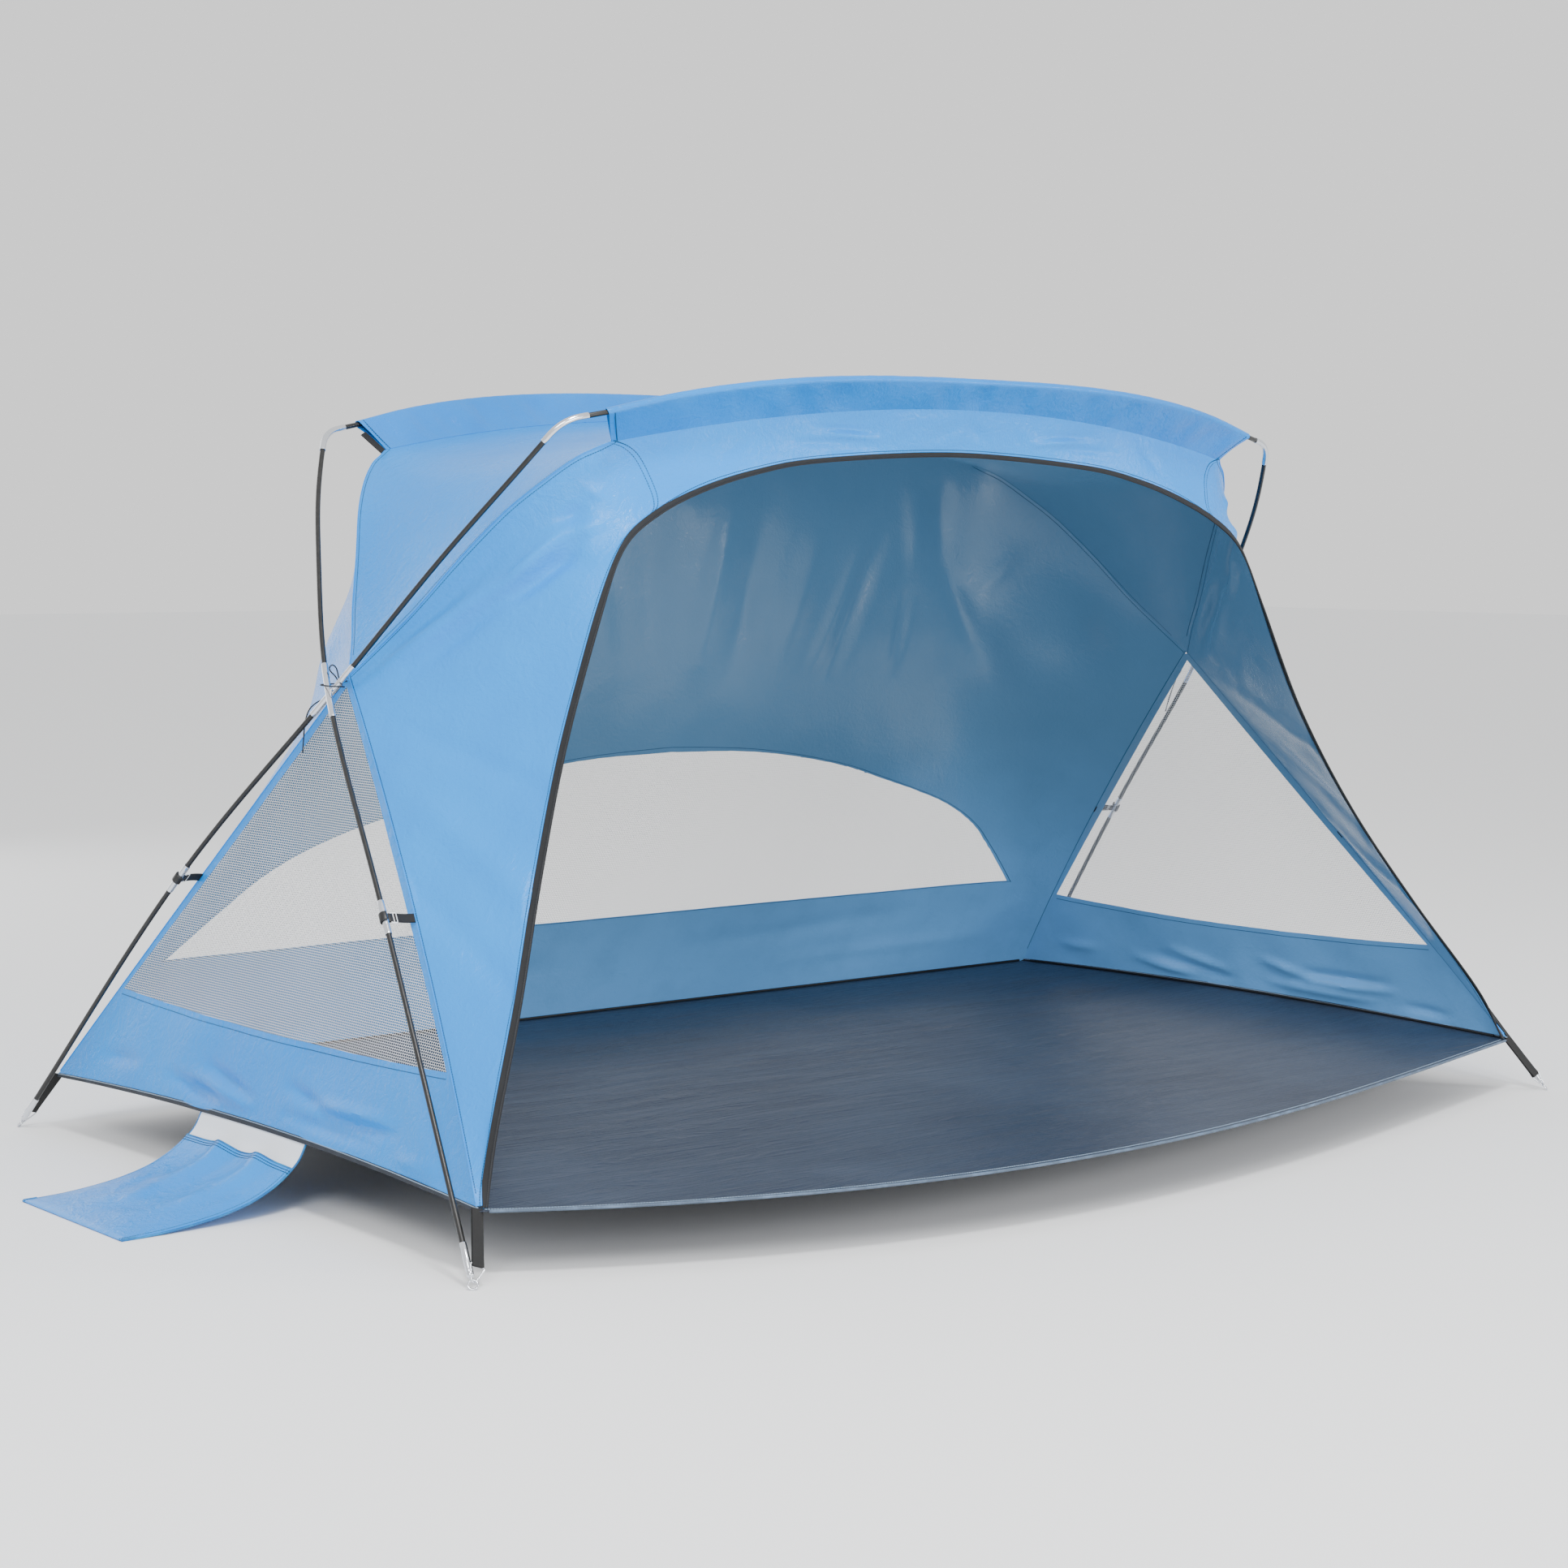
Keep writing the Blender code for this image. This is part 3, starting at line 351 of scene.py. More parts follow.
class Finish:
    # a material and the calls that build its nodes
    def __init__(self, name):
        self.material = bpy.data.materials.new(name)
        self.material.use_nodes = True
        self.nodes = self.material.node_tree.nodes
        self.links = self.material.node_tree.links
        self.shader = self.nodes["Principled BSDF"]

    def node(self, kind, settings=None, values=None, out=0):
        made = self.nodes.new("ShaderNode" + kind)
        for key, value in (settings or {}).items():
            setattr(made, key, value)
        for key, value in (values or {}).items():
            self.feed(made.inputs[key], value)
        return Wire(self, made.outputs[out])

    def feed(self, socket, value):
        if isinstance(value, Wire):
            self.links.new(value.socket, socket)
        else:
            socket.default_value = value

    def place(self):
        return self.node("TexCoord", out="Object")

    def axes(self, place=None):
        split = self.nodes.new("ShaderNodeSeparateXYZ")
        self.feed(split.inputs[0], place or self.place())
        return [Wire(self, socket) for socket in split.outputs]

    def surfaceMap(self):
        return self.axes(self.node("UVMap", {"uv_map": "cloth"}))

    def scaled(self, x, y, z, turn=0):
        values = {"Vector": self.place(), "Scale": (x, y, z), "Rotation": (0, 0, turn)}
        return self.node("Mapping", None, values)

    def noise(self, scale, detail=3, roughness=0.5, vector=None, distortion=0):
        values = {"Scale": scale, "Detail": detail, "Roughness": roughness, "Distortion": distortion}
        values["Vector"] = vector or self.place()
        return self.node("TexNoise", None, values)

    def mix(self, factor, a, b):  # of the Mix node's sockets, 6, 7 and 2 are the colours
        return self.node("Mix", {"data_type": "RGBA"}, {0: factor, 6: a, 7: b}, 2)

    def bump(self, height, strength, distance, before=None):
        values = {"Height": height, "Strength": strength, "Distance": distance}
        if before:
            values["Normal"] = before
        return self.node("Bump", None, values)

    def set(self, **sockets):
        for key, value in sockets.items():
            self.feed(self.shader.inputs[shaderSockets[key]], value)
        return self.material


def rgb(*eye):  # a colour as the eye reads it, 0 to 255, in linear light
    return (*[(c / 255 / 12.92 if c < 11 else ((c / 255 + 0.055) / 1.055) ** 2.4) for c in eye], 1)


def tinted(colour, share, lift=0):  # the same colour, darker or lighter
    return rgb(*[min(255, c * share + lift) for c in colour])


# Coated cloth: an even colour with faint clouding, a fine crinkle and a soft shine.
blueCloth = {
    "colour": (0, 143, 232),
    "dark": (0, 136, 225),
    # painted shade: the sleeves are of the same cloth as the canopy, their blue darkened as their fins
    # face forward, away from the light above
    "sleeveShadedColour": (0, 131, 218),
    "sleeveShadedDark": (0, 120, 204),
    "inside": (60, 94, 122),
    # painted light: the lining's lighter colour low on the walls, where light from below falls
    "insideLowPaintedLight": (94, 154, 214),
    # painted glow for the daylight that comes through the thin cloth
    "paintedGlowThroughCloth": (96, 150, 196),
    "floor": (39, 48, 64),
    "floorPale": (63, 74, 91),
}


def crinkle(f, size, strength, over=None):
    # the small wrinkles and pebbling of a coated cloth
    fine = f.noise(1 / size, 4, 0.62, distortion=0.6)
    ridges = abs(f.noise(0.22 / size, 3, 0.55, distortion=1.2) - 0.5) * 2
    tiny = f.noise(1 / (size * 0.22), 2, 0.5)
    height = fine * 0.55 + ridges * 0.5 + tiny * 0.12
    return f.bump(height, strength, size * 0.45, over)


def outsideCloth(name, colour, dark):
    f = Finish(name)
    cloud = f.noise(3.2, 3, 0.55)
    shade = f.mix(cloud.smooth(0.32, 0.7), rgb(*dark), rgb(*colour))
    weaveMark = f.noise(900, 1, 0.5)
    shade = f.mix(weaveMark * 0.10, shade, tinted(dark, 0.86))
    wear = f.noise(7, 4, 0.6).smooth(0.45, 0.75)
    normal = crinkle(f, 0.009, 0.55)
    return f.set(colour=shade, roughness=0.25 + wear * 0.07, normal=normal, specular=0.24)


def insideCloth(name, colour, low):
    f = Finish(name)
    x, y, z = f.axes()
    cloud = f.noise(2.6, 3, 0.5)
    # painted light: the colour turns lighter towards the bottom of the walls
    height = (z + (cloud - 0.5) * 0.22).smooth(0.05, 0.62)
    shade = f.mix(height, rgb(*low), rgb(*colour))
    shade = f.mix(f.noise(11, 4, 0.6).smooth(0.4, 0.8) * 0.14, shade, tinted(colour, 0.8))
    normal = crinkle(f, 0.007, 0.30)
    # painted glow: the lining gives off a faint light, for the daylight through the thin cloth
    f.set(glowColour=rgb(*blueCloth["paintedGlowThroughCloth"]), glow=0.23)  # daylight through the thin cloth
    return f.set(colour=shade, roughness=0.17 + cloud * 0.08, normal=normal, specular=0.36)


def floorCloth():
    f = Finish("slateFloorCloth")
    cloud = f.noise(2.2, 4, 0.6)
    shade = f.mix(cloud.smooth(0.35, 0.72) * 0.55, rgb(*blueCloth["floor"]), rgb(*blueCloth["floorPale"]))
    creaseLines = f.noise(9, 5, 0.62, f.scaled(0.5, 3.2, 1, 0.12), 0.8)
    fineLines = f.noise(42, 4, 0.6, f.scaled(0.35, 2.6, 1, -0.08), 0.5)
    shade = f.mix(fineLines.smooth(0.5, 0.85) * 0.16, shade, tinted(blueCloth["floor"], 0.7))
    folds = abs(creaseLines - 0.5) * 2
    normal = f.bump(folds, 0.7, 0.008)
    normal = f.bump(fineLines, 0.6, 0.0024, normal)
    normal = f.bump(f.noise(420, 2, 0.5), 0.25, 0.0006, normal)
    return f.set(colour=shade, roughness=0.38 + cloud * 0.12, normal=normal, specular=0.45)


# Netting: the pitch of its slots in metres, and a slot's half sizes as shares of the pitch.
netting = {
    "pitchAcross": 0.0054,
    "pitchUp": 0.0036,
    "holeAcross": 0.455,
    "holeUp": 0.44,
    "thread": (246, 247, 248),
    "greyThread": (222, 226, 230),
    "wander": 0.0011,
}


def netCloth(name, acrossAxis):
    # knitted net: rows of small slots, each row set half a slot along from the next
    f = Finish(name)
    axes = f.axes()
    wander = (f.noise(30, 2, 0.5) - 0.5) * netting["wander"]
    up = (axes[2] + wander) / netting["pitchUp"]
    odd = (up.floor() * 0.5).fraction() * 2
    across = (axes[acrossAxis] + wander) / netting["pitchAcross"] + odd * 0.5
    a = (across.fraction() - 0.5) / netting["holeAcross"]
    b = (up.fraction() - 0.5) / netting["holeUp"]
    a, b = a * a, b * b
    hole = (a * a + b * b) < 1
    uneven = f.noise(9, 3, 0.6)
    shade = f.mix(uneven.smooth(0.3, 0.8) * 0.3, rgb(*netting["thread"]), rgb(*netting["greyThread"]))
    thread = (a * a + b * b).smooth(0.9, 2.6)
    normal = f.bump(thread, 0.6, 0.0005)
    f.material.surface_render_method = "DITHERED"
    return f.set(colour=shade, roughness=0.75, alpha=1 - hole, normal=normal, specular=0.25)


def ribbed(name, colour, pitch, roughness, depth=0.0004, light=1.35):
    # woven tape: ribs across it and a fine weave, on the piece's own map
    f = Finish(name)
    u, v, _ = f.surfaceMap()
    ribs = abs((v / pitch).fraction() - 0.5) * 2
    threads = abs((u / (pitch * 0.8)).fraction() - 0.5) * 2
    shade = f.mix(ribs * threads, tinted(colour, 0.62), tinted(colour, light))
    cloud = f.noise(40, 3, 0.6)
    shade = f.mix(cloud.smooth(0.4, 0.8) * 0.3, shade, tinted(colour, 1.5, 6))
    normal = f.bump(ribs + threads * 0.5, 0.7, depth)
    return f.set(colour=shade, roughness=roughness, normal=normal)


def brushedSteel():
    f = Finish("brightSteel")
    streak = f.noise(60, 3, 0.6, f.scaled(1, 1, 0.12))
    marks = f.noise(240, 3, 0.7)
    shade = f.mix(streak * 0.5, rgb(226, 229, 234), rgb(198, 203, 211))
    scuff = marks.smooth(0.55, 0.8)
    normal = f.bump(marks, 0.08, 0.0004)
    return f.set(colour=shade, roughness=0.16 + scuff * 0.2, metallic=1.0, normal=normal)


def poleBlack():
    f = Finish("blackGlassFibre")
    grain = f.noise(130, 4, 0.65, f.scaled(1, 1, 0.05))
    shade = f.mix(grain.smooth(0.35, 0.8), rgb(9, 9, 9), rgb(27, 26, 25))
    normal = f.bump(grain, 0.3, 0.0006)
    return f.set(colour=shade, roughness=0.32 + grain * 0.18, normal=normal, coat=0.12)


def plain(name, colour, roughness, speckle=0.25, size=300, depth=0.0004):
    f = Finish(name)
    grain = f.noise(size, 3, 0.6)
    shade = f.mix(grain * speckle, rgb(*colour), tinted(colour, 1.5, 10))
    normal = f.bump(grain, 0.4, depth)
    return f.set(colour=shade, roughness=roughness + grain * 0.12, normal=normal)


def cordBraid(name, colour, pitch):
    f = Finish(name)
    twist = f.noise(1 / pitch, 1, 0.5).smooth(0.35, 0.65)
    shade = f.mix(twist, tinted(colour, 0.6), tinted(colour, 1.6, 8))
    return f.set(colour=shade, roughness=0.7, normal=f.bump(twist, 0.7, 0.0003))


looks = {
    "blue": outsideCloth("bluePolyester", blueCloth["colour"], blueCloth["dark"]),
    # the sleeves' copy of the blue cloth, with painted shade in its darker colour
    "sleeve": outsideCloth("blueSleeveClothShaded", blueCloth["sleeveShadedColour"], blueCloth["sleeveShadedDark"]),
    "inside": insideCloth("blueLiningCoatPaintedLight", blueCloth["inside"], blueCloth["insideLowPaintedLight"]),
    "floor": floorCloth(),
    "sideNet": netCloth("whiteNetSide", 1),
    "rearNet": netCloth("whiteNetRear", 0),
    "binding": ribbed("slateBinding", (38, 45, 56), 0.0013, 0.7, 0.0002, 1.25),
    "zip": ribbed("slateZipTape", (17, 19, 23), 0.0011, 0.75, 0.0002, 1.2),
    "coil": plain("slateZipCoil", (22, 25, 30), 0.45),
    "webbing": ribbed("blackWebbing", (15, 15, 16), 0.0017, 0.72),
    "lining": plain("whitePocketLining", (232, 238, 246), 0.55, 0.12, 160, 0.0008),
    "edge": ribbed("blueEdgeBinding", (0, 128, 212), 0.0011, 0.6, 0.0002, 1.1),
    "thread": plain("tealThread", (5, 58, 92), 0.7),
    "paleThread": plain("paleThread", (120, 140, 160), 0.7),
    "piping": plain("blackPiping", (20, 21, 23), 0.6, 0.3, 500),
    "paleHem": ribbed("paleHem", (86, 106, 130), 0.0016, 0.6, 0.0002, 1.15),
    "whitePlastic": plain("whitePlastic", (236, 238, 240), 0.35, 0.08, 200, 0.0002),
    "steel": brushedSteel(),
    "fibre": poleBlack(),
    "plastic": plain("blackPlastic", (18, 18, 19), 0.34, 0.3, 180, 0.0003),
    "elastic": cordBraid("elasticCord", (176, 176, 168), 0.002),
    "tie": cordBraid("tieCord", (22, 28, 36), 0.0016),
}
print("materials:", len(looks))


# Edges sharper than these angles, in degrees, stay crisp.
crisp = {"cloth": 55, "round": 35, "part": 40}


def linked(name, data):
    made = bpy.data.objects.new(name, data)
    bpy.context.scene.collection.objects.link(made)
    return made


def toMesh(item):
    # turns modifiers or a curve into a plain mesh under the same name
    bpy.context.view_layer.update()
    graph = bpy.context.evaluated_depsgraph_get()
    data = bpy.data.meshes.new_from_object(item.evaluated_get(graph))
    name = item.name
    old = item.data
    bpy.data.objects.remove(item)
    if isinstance(old, bpy.types.Curve):
        bpy.data.curves.remove(old)
    data.name = name
    return linked(name, data)


def smoothed(item, kind):
    angle = math.radians(crisp[kind])
    build = bmesh.new()
    build.from_mesh(item.data)
    for face in build.faces:
        face.smooth = True
    for edge in build.edges:
        if len(edge.link_faces) == 2 and edge.calc_face_angle(0) > angle:
            edge.smooth = False
    build.to_mesh(item.data)
    build.free()
    return item


def openMesh(grid, outwards):
    # a grid as a welded surface whose faces look outwards, with a map in metres along the cloth
    rows, columns = grid.shape[:2]
    build = bmesh.new()
    layer = build.loops.layers.uv.new("cloth")
    points = [build.verts.new((x, y + middleY, z)) for x, y, z in grid.reshape(-1, 3)]
    mid, centre = columns // 2, rows // 2
    downRun = np.concatenate([[0], np.cumsum(np.linalg.norm(np.diff(grid[:, mid], axis=0), axis=1))])
    acrossRun = np.concatenate([[0], np.cumsum(np.linalg.norm(np.diff(grid[centre], axis=0), axis=1))])
    where = {}
    for i in range(rows):
        for j in range(columns):
            where[points[i * columns + j]] = (acrossRun[j], downRun[i])
    for i in range(rows - 1):
        for j in range(columns - 1):
            k = i * columns + j
            face = build.faces.new([points[q] for q in (k, k + 1, k + columns + 1, k + columns)])
            for loop in face.loops:
                loop[layer].uv = where[loop.vert]
    bmesh.ops.remove_doubles(build, verts=build.verts, dist=0.00005)
    bmesh.ops.dissolve_degenerate(build, edges=build.edges, dist=0.00005)
    build.normal_update()
    if outwards:
        facing = sum((f.normal * f.calc_area()).dot(outwards(f.calc_center_median())) for f in build.faces)
        if facing < 0:
            bmesh.ops.reverse_faces(build, faces=build.faces)
    return build


def away(centre):
    middle = Vector((centre[0], centre[1] + middleY, centre[2]))
    return lambda spot: (spot - middle).normalized()


outOfTent = away((0, 0, 0.3))


def meshed(name, build, *finishes):
    data = bpy.data.meshes.new(name)
    build.to_mesh(data)
    build.free()
    for finish in finishes:
        data.materials.append(looks[finish])
    return linked(name, data)


def finished(name, build, finishes, thickness, rim=0):
    # the wall of the cloth: the first finish outside, the second inside, and either on the rim
    item = meshed(name, build, *finishes)
    wall = item.modifiers.new("wall", "SOLIDIFY")
    wall.thickness = thickness
    wall.offset = 0
    wall.material_offset = len(finishes) - 1
    wall.material_offset_rim = rim
    wall.use_even_offset = True
    return smoothed(toMesh(item), "cloth")


def ribbon(name, centres, wides, width, thickness, finish, columns=5):
    # a flat strip along points, turned by the direction of its width at each
    rows = []
    for p, wide in zip(centres, wides):
        rows.append([p + wide.normalized() * width * (k / (columns - 1) - 0.5) for k in range(columns)])
    grid = toGrid(rows).transpose(1, 0, 2)
    return finished(name, openMesh(grid, outOfTent), (finish,), thickness)


def cutLines(build, outline, axes):
    # cuts the mesh along each side of a convex outline, seen along the third axis
    a, b = axes
    for p, q in zip(outline, outline[1:] + outline[:1]):
        way = Vector((q[0] - p[0], q[1] - p[1]))
        if way.length < 1e-6:
            continue
        normal = Vector((0, 0, 0))
        normal[a], normal[b] = -way.y, way.x
        spot = Vector((0, 0, 0))
        spot[a], spot[b] = p
        low = [min(p[k], q[k]) - 0.03 for k in (0, 1)]
        high = [max(p[k], q[k]) + 0.03 for k in (0, 1)]
        near = [
            f for f in build.faces
            if any(low[0] < v.co[a] < high[0] and low[1] < v.co[b] < high[1] for v in f.verts)
        ]
        geometry = set(near)
        for f in near:
            geometry.update(f.edges)
            geometry.update(f.verts)
        bmesh.ops.bisect_plane(build, geom=list(geometry), plane_co=spot, plane_no=normal, dist=0.00002)


def inside(outline, point):
    sign = 0
    for p, q in zip(outline, outline[1:] + outline[:1]):
        side = (q[0] - p[0]) * (point[1] - p[1]) - (q[1] - p[1]) * (point[0] - p[0])
        if abs(side) > 1e-12:
            if sign * side < 0:
                return False
            sign = side
    return True


def splitNet(build, outline, axes, test=None):
    # takes the faces inside the outline out of the mesh and returns them as a second one
    cutLines(build, outline, axes)
    other = build.copy()
    for mesh, wanted in ((build, False), (other, True)):
        doomed = []
        for f in mesh.faces:
            spot = f.calc_center_median()
            isIn = inside(outline, (spot[axes[0]], spot[axes[1]])) and (test is None or test(spot))
            if isIn != wanted:
                doomed.append(f)
        bmesh.ops.delete(mesh, geom=doomed, context="FACES")
    return other


def ride(item, node=None, body="tent"):
    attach(item, body)
    if node:
        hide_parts(node)
    return item


def ringAround(build, spot, side, other, radius, count):
    turns = [2 * math.pi * n / count for n in range(count)]
    spots = [spot + (side * math.cos(a) + other * math.sin(a)) * radius for a in turns]
    return [build.verts.new((p.x, p.y + middleY, p.z)) for p in spots]


def band(build, here, there, around, low, high):
    # faces between two rings, with a map in metres: the way round and the way along
    layer = build.loops.layers.uv["cloth"]
    count = len(here)
    for n in range(count):
        m = (n + 1) % count
        face = build.faces.new((here[n], here[m], there[m], there[n]))
        for loop, (u, v) in zip(face.loops, ((n, low), (n + 1, low), (n + 1, high), (n, high))):
            loop[layer].uv = (u / count * around, v)


def tube(name, points, radii, count, finish, closed=False):
    # a round tube along points, whose radius may change from one point to the next
    pts = [Vector(p) for p in points]
    size = len(pts)
    radii = radii if isinstance(radii, (list, tuple)) else [radii] * size
    build = bmesh.new()
    build.loops.layers.uv.new("cloth")
    ways = []
    for k in range(size):
        before = pts[k - 1] if (k or closed) else pts[k]
        after = pts[(k + 1) % size] if (k < size - 1 or closed) else pts[k]
        ways.append((after - before).normalized())
    side = ways[0].orthogonal().normalized()
    rings = []
    for spot, way, radius in zip(pts, ways, radii):
        side = (side - way * side.dot(way)).normalized()
        rings.append(ringAround(build, spot, side, way.cross(side), radius, count))
    run = runs([*pts, pts[0]])
    for k in range(size if closed else size - 1):
        band(build, rings[k], rings[(k + 1) % size], 2 * math.pi * radii[k], run[k], run[k + 1])
    if not closed:
        build.faces.new(rings[0][::-1])
        build.faces.new(rings[-1])
    bmesh.ops.recalc_face_normals(build, faces=build.faces)
    return smoothed(meshed(name, build, finish), "round")


def joined(name, items):
    # several pieces of one body as one mesh
    bpy.ops.object.select_all(action="DESELECT")
    for item in items:
        item.select_set(True)
    bpy.context.view_layer.objects.active = items[0]
    bpy.ops.object.join()
    made = bpy.context.view_layer.objects.active
    made.name = name
    made.data.name = name
    return made


# Ties at the pole crossings. The route is the right one's, from the middle of the crossing.
tie = {
    "thickness": 0.0022,
    "crossOut": 0.033,
    "crossDrop": 0.022,
    "route": (
        (-0.0300, 0.0, 0.0150),
        (-0.0240, 0.0050, 0.0125),
        (-0.0190, 0.0120, 0.0105),
        (-0.0120, 0.0170, 0.0100),
        (-0.0040, 0.0180, 0.0098),
        (0.0045, 0.0165, 0.0095),
        (0.0095, 0.0110, 0.0092),
        (0.0110, 0.0, 0.0090),
        (0.0095, -0.0110, 0.0086),
        (0.0045, -0.0165, 0.0082),
        (-0.0040, -0.0180, 0.0078),
        (-0.0120, -0.0165, 0.0072),
        (-0.0180, -0.0110, 0.0066),
        (-0.0210, -0.0030, 0.0062),
        (-0.0220, 0.0050, 0.0080),
        (-0.0200, 0.0090, 0.0140),
        (-0.0160, 0.0120, 0.0220),
        (-0.0105, 0.0155, 0.0290),
        (-0.0088, 0.0160, 0.0345),
        (-0.0128, 0.0142, 0.0385),
        (-0.0182, 0.0122, 0.0340),
        (-0.0220, 0.0130, 0.0230),
        (-0.0245, 0.0130, 0.0120),
        (-0.0235, 0.0140, 0.0030),
        (-0.0190, 0.0200, -0.0050),
        (-0.0110, 0.0310, -0.0120),
        (-0.0020, 0.0430, -0.0190),
        (0.0030, 0.0560, -0.0300),
        (0.0040, 0.0670, -0.0490),
        (0.0020, 0.0750, -0.0720),
        (0.0, 0.0820, -0.0970),
    ),
}
crossing = apex + Vector((tie["crossOut"], 0, -tie["crossDrop"]))


def polyCurve(name, paths):
    # straight steps along each path, which is given from the tent's middle line
    data = bpy.data.curves.new(name, "CURVE")
    data.dimensions = "3D"
    for path in paths:
        spline = data.splines.new("POLY")
        spline.points.add(len(path) - 1)
        for mark, p in zip(spline.points, path):
            mark.co = (p.x, p.y + middleY, p.z, 1)
    return linked(name, data)


def makeCord(name, node, slot, spots, thickness, finish, far, lay):
    item = polyCurve(name, [spots])
    item.data.bevel_depth = thickness / 2
    item.data.bevel_resolution = 2
    item.data.use_fill_caps = True
    item.data.materials.append(looks[finish])
    ride(item, node)
    spots[0] + Vector((0, middleY, 0))
    runs(spots)[-1]


for side, sign in sides:
    spots = curveThrough([crossing + Vector(p) for p in tie["route"]], 5)
    spots = [Vector((sign * p.x, p.y, p.z)) for p in spots]
    name = f"apexTie_{side}"
    makeCord(name, f"apex_tie_{side}", "tie_cord", spots, tie["thickness"], "tie", "bare", "hanging")
print("ties made,", round(runs(spots)[-1], 3), "m each")

cloth = {
    "thickness": 0.0008,
    "netThickness": 0.0002,
    "floorThickness": 0.0012,
    "zipWidth": 0.012,
    "zipThickness": 0.0020,
    "seamOverlap": 0.0015,
}


def surfaceArea(item):
    return sum(p.area for p in item.data.polygons) / 2


# Front panel: the band over the doorway and its two wings.
frontPanel = {
    "seamGap": 0.0002,
    "tapeHeights": (0.95, 1.09),
    "tapeShares": (1, 0.68),
    "relax": 70,
    "ripple": (0.16, 0.0045),
    "finerRipple": (0.05, 0.0012),
    # each fold from (x, z) to (x, z), its width and its height, the same on both sides
    "folds": (
        ((0.900, 0.780), (0.779, 0.955), 0.0080, 0.0070),
        ((0.896, 0.772), (0.790, 0.905), 0.0080, -0.0085),
        ((0.885, 0.760), (0.762, 0.915), 0.0090, 0.0075),
        ((0.790, 0.890), (0.722, 0.985), 0.0080, -0.0135),
        ((0.778, 0.884), (0.706, 0.976), 0.0085, 0.0120),
        ((0.722, 1.000), (0.695, 1.022), 0.0090, 0.0085),
        ((0.716, 0.975), (0.680, 1.000), 0.0100, -0.0068),
        ((0.739, 0.932), (0.700, 0.950), 0.0120, 0.0068),
        ((0.690, 1.050), (0.668, 1.030), 0.0080, -0.0059),
        ((0.860, 0.745), (0.770, 0.830), 0.0150, -0.0051),
        ((0.905, 0.700), (0.820, 0.600), 0.0180, 0.0054),
        ((0.935, 0.620), (0.880, 0.400), 0.0200, -0.0065),
        ((0.985, 0.500), (0.950, 0.300), 0.0160, 0.0054),
        ((0.297, 1.146), (0.190, 1.143), 0.0060, 0.0031),
        ((0.260, 1.137), (0.170, 1.131), 0.0060, -0.0034),
        ((0.340, 1.122), (0.230, 1.124), 0.0070, 0.0031),
        ((0.013, 1.160), (0.050, 1.134), 0.0080, 0.0034),
        ((0.125, 1.163), (0.160, 1.128), 0.0070, -0.0027),
        ((0.420, 1.140), (0.470, 1.090), 0.0090, 0.0031),
    ),
}


def tapeWidth(outer, edge):  # narrower over the top of the doorway
    share = np.interp(edge.z, frontPanel["tapeHeights"], frontPanel["tapeShares"])
    return min(cloth["zipWidth"] * share, (edge - outer).length / 2)


def frontGrid():
    rows = []
    for outer, edge in panelPairs():
        into = (edge - outer).normalized()
        stop = edge - into * (tapeWidth(outer, edge) - cloth["seamOverlap"])
        start = outer + into * frontPanel["seamGap"]
        rows.append([start.lerp(stop, k / weave["bandColumns"]) for k in range(weave["bandColumns"] + 1)])
    grid = finer(flipped(relax(mirrored(toGrid(rows)), frontPanel["relax"])))
    lift = ripples(grid, *frontPanel["ripple"], 3) + ripples(grid, *frontPanel["finerRipple"], 4)
    lift *= seamPin(lift.shape, 0.05, 0.22)
    lift += creases(grid, frontPanel["folds"], (0, 2), True) * seamPin(lift.shape, 0.01, 0.06)
    return grid + gridNormals(grid) * lift[..., None]


frontSheet = frontGrid()
build = openMesh(frontSheet, outOfTent)
item = finished("frontPanel", build, ("blue", "inside"), cloth["thickness"], rim=1)
ride(item, "front_panel")
print("front panel area", round(surfaceArea(item), 3))

